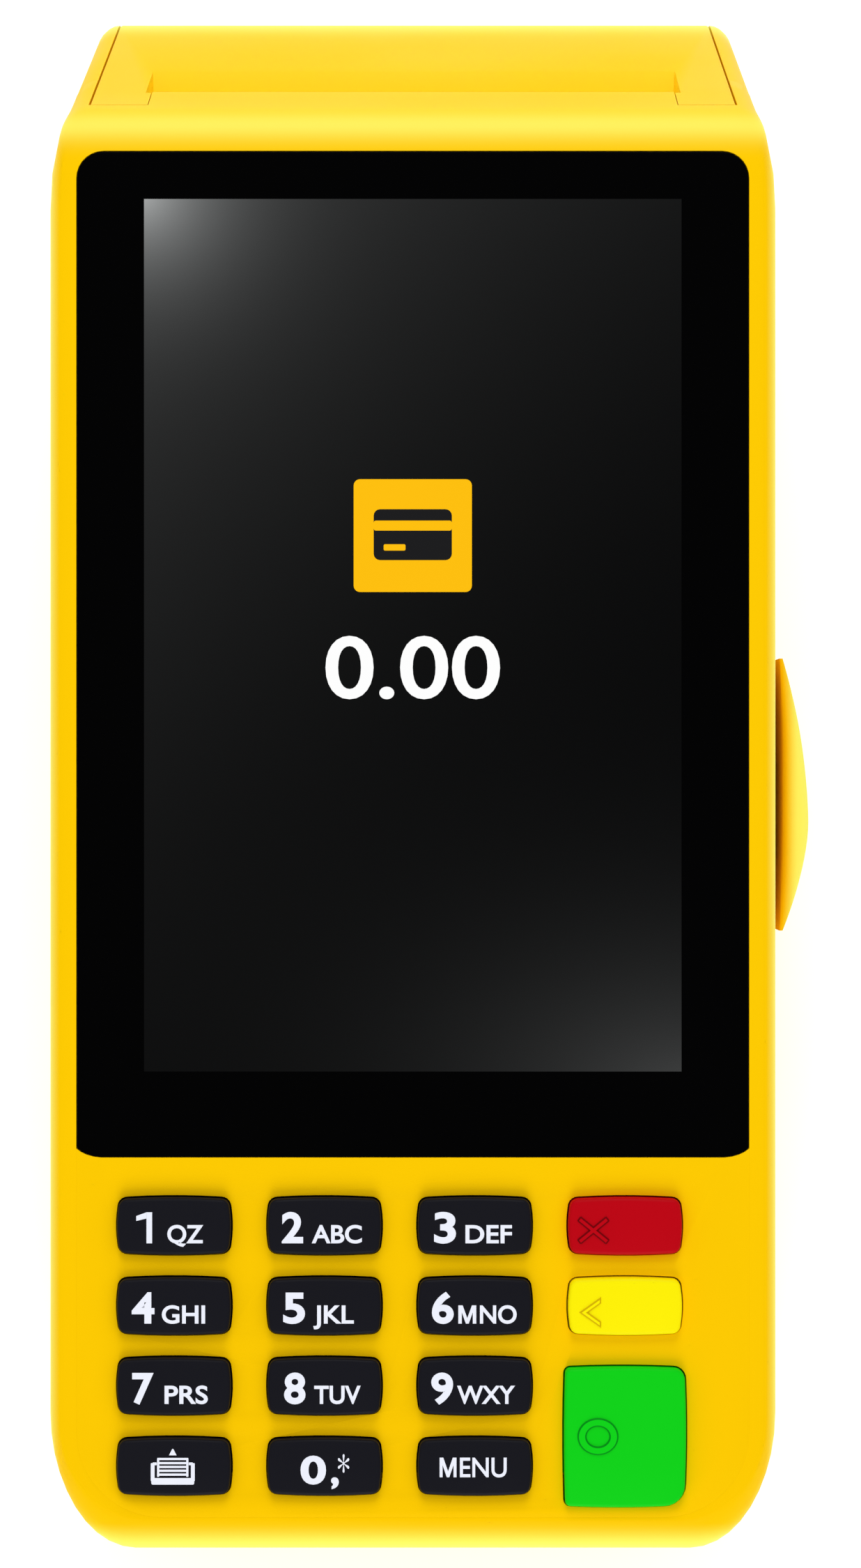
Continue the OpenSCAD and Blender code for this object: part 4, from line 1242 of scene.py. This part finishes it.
def feed_sign(x, y, low, high):
    """A sheet coming out of a tray, with an arrow over it."""
    sheet = [
        bar(x - 1.65, y + 0.5 - 0.42 * k, x + 1.65, y + 0.5 - 0.42 * k, 0.24, low, high) for k in range(4)
    ]
    tray = [
        bar(x - 2.35, y - 1.5, x + 2.35, y - 1.5, 0.72, low, high),
        bar(x - 2.2, y - 1.5, x - 2.2, y + 0.5, 0.42, low, high - 0.003),
        bar(x + 2.2, y - 1.5, x + 2.2, y + 0.5, 0.42, low, high - 0.004),
        bar(x - 2.2, y + 0.42, x - 1.75, y + 0.42, 0.3, low, high - 0.005),
        bar(x + 1.75, y + 0.42, x + 2.2, y + 0.42, 0.3, low, high - 0.006),
    ]
    frame_bars = [
        bar(x - 1.7, y + 0.95, x + 1.7, y + 0.95, 0.24, low, high - 0.002),
        bar(x - 1.6, y - 1.0, x - 1.6, y + 1.0, 0.24, low, high - 0.007),
        bar(x + 1.6, y - 1.0, x + 1.6, y + 1.0, 0.24, low, high - 0.008),
    ]
    arrow = [
        prism(
            [(x - 0.42, y + 1.35), (x + 0.42, y + 1.35), (x + 0.06, y + 2.05), (x - 0.06, y + 2.05)],
            low, high,
        )
    ]
    return joined(sheet + tray + frame_bars + arrow)


def build_legend(name, x, y, sizes):
    """What is printed on a black key, or raised on a coloured one."""
    top = sizes.key_rise
    if name in KEY_FINISH:
        return build_mark(name, x, y, top)
    low, thick = top - 0.02, INK + 0.02
    if name == "feed":
        return feed_sign(x - 0.1, y, low, top + INK)
    parts = []
    for words, left, width, height in LEGENDS[name]:
        base = y - (1.05 if name == "menu" else 1.82)
        big = height > 3
        if words == "1":
            one = letter_one(height, 0.62)
            bmesh.ops.scale(one, verts=one.verts, vec=(1, 1, thick))
            bmesh.ops.translate(one, verts=one.verts, vec=(x + left, base, low))
            parts.append(one)
            continue
        if words.startswith("M"):
            share = width * (0.27 if name == "menu" else 0.33)
            parts.append(
                letter_m(x + left, base, height, share * 0.93, low, thick, 0.15 if name == "menu" else 0.19)
            )
            words, left, width = words[1:], left + share * 1.12, width - share * 1.12
        weight = 0.0 if words == "*" else 0.03 if big else 0.012 if name == "menu" else 0.022
        parts.append(set_text(words, x + left, base, height, low, thick, width, weight))
    return joined(parts)


def build_picture():
    """The lit sign on the screen: an amber tile with a card on it, and an amount below."""
    level = LENS_TOP + 0.004
    tile = prism(rounded(-6.5, 6.5, 21.1, 33.5, 0.7, 0.7, 5), LENS_TOP - 0.02, level + 0.01)
    card = prism(rounded(-4.3, 4.3, 24.6, 30.2, 0.7, 0.7, 4), LENS_TOP - 0.01, level + 0.02)
    stripe = joined([
        bar(-4.3, 28.4, 4.3, 28.4, 1.1, LENS_TOP, level + 0.03),
        bar(-3.2, 26.0, -0.8, 26.0, 0.7, LENS_TOP, level + 0.03),
    ])
    amount = set_text("0.00", -9.6, 9.4, 6.8, LENS_TOP - 0.01, 0.03, 19.2, 0.012)
    return tile, card, stripe, amount


# ---- Paper door ----


def door_profile():
    """The door's skin in section: down the slope, round the tail and back up the inside."""
    inside, slope_end, tail_end = TAIL_RADIUS - DOOR_THICK, 90 - math.degrees(DOOR_SLOPE), -32
    top = (SLOPE_Y + DOOR_GAP * math.cos(DOOR_SLOPE), SLOPE_Z - DOOR_GAP * math.sin(DOOR_SLOPE))
    points = [top]
    points += arc(TAIL_Y, TAIL_Z, TAIL_RADIUS, TAIL_RADIUS, slope_end, tail_end, 16)
    points += arc(TAIL_Y, TAIL_Z, inside, inside, tail_end, slope_end, 16)
    points.append((top[0] - DOOR_THICK * math.sin(DOOR_SLOPE), top[1] - DOOR_THICK * math.cos(DOOR_SLOPE)))
    return points


def on_slope(bm):
    bm.transform(SLOPE)
    return bm


def slope_profile(points, low, high):
    """A solid from an outline of (down the slope, out of the door), drawn out across."""
    return on_slope(across(points, low, high))


def ramp_tool():
    """The shallow ramp behind the paper slot, with its two ends flared."""
    tool = bmesh.new()
    bmesh.ops.create_cube(tool, size=2)
    for v in tool.verts:
        side, down, out = v.co
        if down < 0 and out > 0:
            v.co = (side * 30.3, LIP - 0.4, 0.6)
        elif down < 0:
            v.co = (side * 29.2, LIP - 0.4, -3.35)
        elif out > 0:
            v.co = (side * 30.25, RAMP_FAR + 0.4, 0.6)
        else:
            v.co = (side * 30.15, RAMP_FAR, 0.0)
    return on_slope(tool)


def build_paper_door():
    skin = across(door_profile(), -DOOR_HALF, DOOR_HALF)
    sides = [e for e in skin.edges if abs(sum(v.co.x for v in e.verts)) > 1.99 * DOOR_HALF]
    middle_skin = (TAIL_RADIUS - DOOR_THICK / 2) ** 2
    outer = [
        e for e in sides
        if all((v.co.y - TAIL_Y) ** 2 + (v.co.z - TAIL_Z) ** 2 > middle_skin for v in e.verts)
    ]
    soften(skin, outer, 0.25, 2)
    for v in skin.verts:
        half = HALF_WIDTH - 0.05 - narrowing(v.co.y)
        v.co.x = max(-half, min(half, v.co.x))
    notch = on_slope(block((-SLOT_HALF, -2, -5), (SLOT_HALF, SLOT_BACK, 5)))
    clear = [rod(HINGE_Y, HINGE_Z, 2.65, a - 0.2, b + 0.2) for a, b in CASE_KNUCKLES]
    solid = combined(skin, [notch, *clear])
    backing_end = RAMP_FAR + 2
    backing = slope_profile(
        [(SLOT_BACK, -4.5), (SLOT_BACK, -2.8), (RAMP_FAR, -0.1), (backing_end, -1.6), (backing_end, -2.6)],
        -SLOT_HALF - 1.4, SLOT_HALF + 1.4,
    )
    knuckles = [hinge_knuckle(a, b) for a, b in DOOR_KNUCKLES]
    arms = [on_slope(block((x, LIP + 2.4, -13), (x + 1, RAMP_FAR - 1.2, -1.8))) for x in (-29.7, 28.7)]
    solid = combined(solid, [backing, *knuckles, *arms], "UNION")
    shaft = [rod(HINGE_Y, HINGE_Z, 1.06, a - 1, b + 1, 20) for a, b in DOOR_KNUCKLES]
    down, deep = 11.6, 10.0
    platen_y = SLOPE_Y + down * math.cos(DOOR_SLOPE) - deep * math.sin(DOOR_SLOPE)
    platen_z = SLOPE_Z - down * math.sin(DOOR_SLOPE) - deep * math.cos(DOOR_SLOPE)
    return combined(solid, [ramp_tool(), *shaft, rod(platen_y, platen_z, 2.25, -40, 40, 28)])


# ---- Back and sides ----


def build_battery_cover():
    rib_top = BACK - 0.38
    plate = prism(rounded(-COVER_HALF, COVER_HALF, COVER_NEAR, COVER_FAR, 2.5, 2.5, 6), BACK, BACK + 1.55)
    bevel_level(plate, BACK, 0.3, 3)
    dish = prism(rounded(-8.5, 8.5, COVER_FAR - 13.5, COVER_FAR - 3, 4.5, 4.5, 8), BACK - 1, BACK + 0.45)
    plate = combined(plate, [dish])
    ribs = []
    for i in range(5):
        rib = prism(rounded(-6.5, 6.5, -0.42, 0.42, 0.4, 0.4, 4), rib_top, BACK + 0.5)
        bevel_level(rib, rib_top, 0.25, 3)
        bmesh.ops.translate(rib, verts=rib.verts, vec=(0, COVER_FAR - 11.6 + i * 1.8, 0))
        ribs.append(rib)
    return combined(plate, ribs, "UNION")


FOOT_RINGS = ((3.2, 0), (3.62, 0.08), (3.9, 0.3), (4, 0.65), (4, 2.3))


def build_feet():
    pads = []
    for x, y in FEET:
        rings = []
        for radius, level in FOOT_RINGS:
            rings.append([(px, py, level) for px, py in arc(0, 0, radius, radius, 0, 360, 40)[:-1]])
        pad = lofted(rings)
        pad.transform(foot_frame(x, y))
        pads.append(pad)
    return joined(pads)


def build_power_key():
    """The power key, from its flange inside the wall to its rounded top outside it."""
    left = -HALF_WIDTH - 0.33
    flange, corner = -37.9, 1.38
    rings = []
    for shrink, x in (
        (-0.9, -37.35), (-0.9, flange), (0, flange), (0, left + 0.5), (0.1, left + 0.2), (0.32, left + 0.04),
        (0.6, left),
    ):
        r = corner - shrink * 0.9
        outline = rounded(25.1 + shrink, 34.9 - shrink, -10.4 + shrink, -7.6 - shrink, r, r, 6)
        rings.append([(x, y, z) for y, z in outline])
    return lofted(rings)


# ---- Finishes of the parts inside ----

INNER_FINISH = {
    "black_plastic": ["display_gasket", "display_module", "chip_reader", "speaker", "paper_bucket"],
    "board": ["contactless_antenna", "keypad_board", "main_board"],
    "film": ["keypad_spacer"],
    "steel": [
        "key_domes", "security_shield", "radio_module", "coin_cell", "charge_port", "stripe_head",
        "stripe_spring",
        "door_hinge_pin", "platen_shaft", "head_springs", "tear_bar", "printer_motor", "thermal_head",
        "case_screws", "board_screws",
    ],
    "dark_steel": ["printer_frame"],
    "brass": ["chip_contacts", "battery_contacts", "motor_pinion"],
    "gear": ["platen_gear", "platen_bushes", "idler_gear_small", "idler_gear_large"],
    "rubber": ["platen_roller"],
    "wrap": ["battery_pack"],
    "paper": ["paper_roll"],
}


# ---- Settings ----


class TerminalSizes(bpy.types.PropertyGroup):
    key_width: bpy.props.FloatProperty(
        name="Key Width", description="Width of a small key, in millimetres",
        default=12.5, min=12.0, max=13.1,
    )
    key_height: bpy.props.FloatProperty(
        name="Key Height", description="Height of a small key, in millimetres",
        default=6.3, min=6.0, max=6.7,
    )
    key_rise: bpy.props.FloatProperty(
        name="Key Rise", description="Height of the key tops above the face, in millimetres",
        default=1.1, min=0.6, max=1.5,
    )
    key_pitch_x: bpy.props.FloatProperty(
        name="Column Pitch", description="Distance between key columns, in millimetres",
        default=16.5, min=16.3, max=16.7,
    )
    key_pitch_y: bpy.props.FloatProperty(
        name="Row Pitch", description="Distance between key rows, in millimetres",
        default=8.8, min=8.7, max=8.9,
    )
    key_gap: bpy.props.FloatProperty(
        name="Key Gap", description="Gap round a key, in millimetres",
        default=0.18, min=0.1, max=0.4,
    )
    key_bow: bpy.props.FloatProperty(
        name="Key Bow", description="How far the sides of a key swell, in millimetres",
        default=0.16, min=0.0, max=0.6,
    )
    key_corner: bpy.props.FloatProperty(
        name="Key Corner", description="Corner radius of a key, in millimetres",
        default=0.95, min=0.5, max=2.0,
    )
    first_key_x: bpy.props.FloatProperty(
        name="First Column", description="Place of the first column across the face, in millimetres",
        default=-26.2,
    )
    first_key_y: bpy.props.FloatProperty(
        name="First Row", description="Place of the first row along the face, in millimetres",
        default=-48.5,
    )


class TerminalLooks(bpy.types.PropertyGroup):
    body_colour: bpy.props.FloatVectorProperty(
        name="Body Colour", description="Colour of the moulded case",
        subtype="COLOR", size=3, min=0.0, max=1.0, default=(1.0, 0.6, 0.0),
    )
    # colour and strength of the painted highlight along the case's rounded edges
    painted_highlight_colour: bpy.props.FloatVectorProperty(
        name="Painted Highlight Colour", description="Paler colour along the rounded edges",
        subtype="COLOR", size=3, min=0.0, max=1.0, default=(1.0, 1.0, 0.17),
    )
    painted_highlight_amount: bpy.props.FloatProperty(
        name="Painted Highlight Amount", description="How far the edges turn pale",
        subtype="FACTOR", default=1.0, min=0.0, max=1.0,
    )
    grain_cells: bpy.props.FloatProperty(
        name="Grain", description="Cells of the moulded grain in a metre of surface",
        default=3200.0, min=500.0, max=9000.0,
    )


class TerminalStage(bpy.types.PropertyGroup):
    camera_height: bpy.props.FloatProperty(
        name="Camera Height", description="Distance of the camera from the face",
        default=0.38, min=0.2, unit="LENGTH",
    )
    camera_side: bpy.props.FloatProperty(
        name="Camera Offset", description="How far the camera stands to the right of the middle",
        default=0.00195, unit="LENGTH",
    )
    lens: bpy.props.FloatProperty(
        name="Lens", description="Focal length on a sensor 36 mm tall",
        default=79.4, min=20.0, unit="CAMERA",
    )
    sky: bpy.props.FloatProperty(
        name="Sky", description="Strength of the even light all round",
        default=0.66, min=0.0,
    )
    softbox: bpy.props.FloatProperty(
        name="Softbox", description="Power of the softbox beyond the printer end",
        default=3.0, min=0.0, unit="POWER",
    )
    fill: bpy.props.FloatProperty(
        name="Fill", description="Power of the softbox before the keypad end",
        default=2.6, min=0.0, unit="POWER",
    )
    floor_glow: bpy.props.FloatProperty(
        name="Floor Glow", description="Light given off by the backlit floor",
        default=0.45, min=0.0,
    )


def finish_of(name):
    if name not in FINISH:
        raise RuntimeError("make the finishes first")
    return FINISH[name]


class MakeFinishes(bpy.types.Operator):
    """Makes every material of the terminal"""

    bl_idname = "terminal.finishes"
    bl_label = "Make Finishes"

    def execute(self, context):
        FINISH.clear()
        FINISH.update(make_finishes(context.scene.terminal_looks))
        return {"FINISHED"}


class BuildFrontCase(bpy.types.Operator):
    """Builds the front half of the case, with its rim, lip and side openings"""

    bl_idname = "terminal.front_case"
    bl_label = "Front Case"

    def execute(self, context):
        piece(
            build_front_case(), "front_case", "housing", ["front_housing"],
            [finish_of("shell")],
        )
        return {"FINISHED"}


class BuildRearCase(bpy.types.Operator):
    """Builds the rear half of the case, with the paper bay, battery bay and swipe slot"""

    bl_idname = "terminal.rear_case"
    bl_label = "Rear Case"

    def execute(self, context):
        piece(
            build_rear_case(), "rear_case", "housing", ["rear_housing"], [finish_of("shell")],
        )
        return {"FINISHED"}


class BuildKeypadPlate(bpy.types.Operator):
    """Builds the plate round the keys"""

    bl_idname = "terminal.keypad_plate"
    bl_label = "Keypad Plate"

    def execute(self, context):
        made = build_keypad_plate(context.scene.terminal_sizes)
        piece(made, "keypad_surround", "housing", ["keypad_plate"], [finish_of("shell")])
        return {"FINISHED"}


class BuildKeys(bpy.types.Operator):
    """Builds the fifteen keys and their legends"""

    bl_idname = "terminal.keys"
    bl_label = "Keys"

    def execute(self, context):
        sizes = context.scene.terminal_sizes
        for name, x, y, w, h in key_places(sizes):
            body = "key_" + name
            look = KEY_FINISH.get(name)
            slot = look or "key_black"
            piece(key_solid(name, x, y, w, h, sizes), body + "_cap", body, [body], [finish_of(slot)])
            # a coloured key's mark has its slopes in a darker copy of the key colour: painted shade
            marks = [finish_of(look), finish_of(look + "_edge")] if look else [finish_of("ink")]
            piece(build_legend(name, x, y, sizes), body + "_legend", body, [], marks, 20)
        return {"FINISHED"}


class BuildScreen(bpy.types.Operator):
    """Builds the cover lens and the picture that it shows"""

    bl_idname = "terminal.screen"
    bl_label = "Screen"

    def execute(self, context):
        piece(build_lens(), "cover_lens", "housing", ["display_glass"], [finish_of("lens")])
        tile, card, stripe, amount = build_picture()
        piece(tile, "picture_tile", "housing", [], [finish_of("icon")])
        piece(card, "picture_card", "housing", [], [finish_of("icon_dark")])
        piece(stripe, "picture_card_marks", "housing", [], [finish_of("icon")])
        piece(amount, "picture_amount", "housing", [], [finish_of("figures")])
        return {"FINISHED"}


class BuildPaperDoor(bpy.types.Operator):
    """Builds the printer's door, with its ramp, hinge and platen arms"""

    bl_idname = "terminal.paper_door"
    bl_label = "Paper Door"

    def execute(self, context):
        piece(
            build_paper_door(), "printer_door", "paper_door", ["paper_door"],
            [finish_of("shell")],
        )
        return {"FINISHED"}


class BuildSmallParts(bpy.types.Operator):
    """Builds the battery cover, the feet and the power key"""

    bl_idname = "terminal.small_parts"
    bl_label = "Cover, Feet and Power Key"

    def execute(self, context):
        piece(
            build_battery_cover(), "battery_lid", "battery_cover", ["battery_cover"],
            [finish_of("shell")],
        )
        piece(build_feet(), "feet", "housing", ["rubber_feet"], [finish_of("rubber")])
        piece(
            build_power_key(), "power_key", "power_button", ["power_button"],
            [finish_of("black_plastic")],
        )
        return {"FINISHED"}


class FinishInside(bpy.types.Operator):
    """Gives the printer, the boards and the other parts inside their materials"""

    bl_idname = "terminal.inside"
    bl_label = "Finish Inside Parts"

    def execute(self, context):
        for look, names in INNER_FINISH.items():
            for name in names:
                mesh = frame["nodes"][name].data
                mesh.materials.clear()
                mesh.materials.append(finish_of(look))
        return {"FINISHED"}


class BuildStage(bpy.types.Operator):
    """Sets up the pale floor, the soft studio light and the camera over the face"""

    bl_idname = "terminal.stage"
    bl_label = "Stage"

    def execute(self, context):
        settings = context.scene.terminal_stage
        scene = context.scene
        scene.view_settings.view_transform = "Standard"
        made, tree, shader = fresh_material("floor_pale")
        shade = tree.nodes.new("ShaderNodeTexNoise")
        shade.inputs["Scale"].default_value = 3.0
        place = tree.nodes.new("ShaderNodeTexCoord")
        tree.links.new(place.outputs["Object"], shade.inputs["Vector"])
        tone = colours_between(tree, shade.outputs["Fac"], [0.86] * 3, [0.88] * 3)
        tree.links.new(tone, shader.inputs["Base Color"])
        shader.inputs["Roughness"].default_value = 0.9
        shader.inputs["Specular IOR Level"].default_value = 0.1
        shader.inputs["Emission Color"].default_value = (1, 1, 1, 1)
        shader.inputs["Emission Strength"].default_value = settings.floor_glow
        bm = bmesh.new()
        bmesh.ops.create_grid(bm, x_segments=2, y_segments=2, size=4.0)
        mesh = bpy.data.meshes.new("floor")
        bm.to_mesh(mesh)
        bm.free()
        mesh.materials.append(made)
        floor = bpy.data.objects.new("floor", mesh)
        scene.collection.objects.link(floor)

        world = bpy.data.worlds.new("studio")
        world.use_nodes = True
        back = world.node_tree.nodes["Background"]
        back.inputs["Color"].default_value = (1, 1, 1, 1)
        back.inputs["Strength"].default_value = settings.sky
        scene.world = world

        for name, power, lean in (("softbox", settings.softbox, -56), ("fill", settings.fill, 60)):
            lamp = bpy.data.lights.new(name, "AREA")
            lamp.energy = power
            lamp.size = 0.45
            lamp_box = bpy.data.objects.new(name, lamp)
            swing = Matrix.Rotation(math.radians(lean), 4, "X")
            lamp_box.matrix_world = FACE_FRAME @ swing @ Matrix.Translation((0, 0, 0.9))
            scene.collection.objects.link(lamp_box)

        lens = bpy.data.cameras.new("camera")
        lens.sensor_fit = "VERTICAL"
        lens.sensor_height = 36.0
        lens.sensor_width = 36.0
        lens.lens = settings.lens
        lens.clip_start = 0.01
        camera = bpy.data.objects.new("camera", lens)
        camera.matrix_world = FACE_FRAME @ Matrix.Translation(
            (settings.camera_side, 0, settings.camera_height)
        )
        scene.collection.objects.link(camera)
        scene.camera = camera
        return {"FINISHED"}


STEPS = (
    MakeFinishes, BuildStage, BuildFrontCase, BuildRearCase, BuildKeypadPlate, BuildKeys, BuildScreen,
    BuildPaperDoor, BuildSmallParts, FinishInside,
)


class TerminalPanel(bpy.types.Panel):
    """Lists the pieces of the terminal in the order they are built"""

    bl_idname = "VIEW3D_PT_terminal"
    bl_label = "Card Payment Terminal"
    bl_space_type = "VIEW_3D"
    bl_region_type = "UI"
    bl_category = "Terminal"

    def draw(self, context):
        layout = self.layout
        for settings in (
            context.scene.terminal_sizes, context.scene.terminal_looks, context.scene.terminal_stage,
        ):
            column = layout.column(align=True)
            for name in settings.__annotations__:
                column.prop(settings, name)
        for step in STEPS:
            layout.operator(step.bl_idname)


SETTINGS = {"terminal_sizes": TerminalSizes, "terminal_looks": TerminalLooks, "terminal_stage": TerminalStage}


def register():
    for settings in SETTINGS.values():
        bpy.utils.register_class(settings)
    for step in STEPS:
        bpy.utils.register_class(step)
    bpy.utils.register_class(TerminalPanel)
    for name, settings in SETTINGS.items():
        setattr(bpy.types.Scene, name, bpy.props.PointerProperty(type=settings))


def unregister():
    for name in SETTINGS:
        delattr(bpy.types.Scene, name)
    bpy.utils.unregister_class(TerminalPanel)
    for step in reversed(STEPS):
        bpy.utils.unregister_class(step)
    for settings in SETTINGS.values():
        bpy.utils.unregister_class(settings)


def main():
    register()
    for step in STEPS:
        family, action = step.bl_idname.split(".")
        getattr(getattr(bpy.ops, family), action)()


if __name__ == "__main__":
    main()
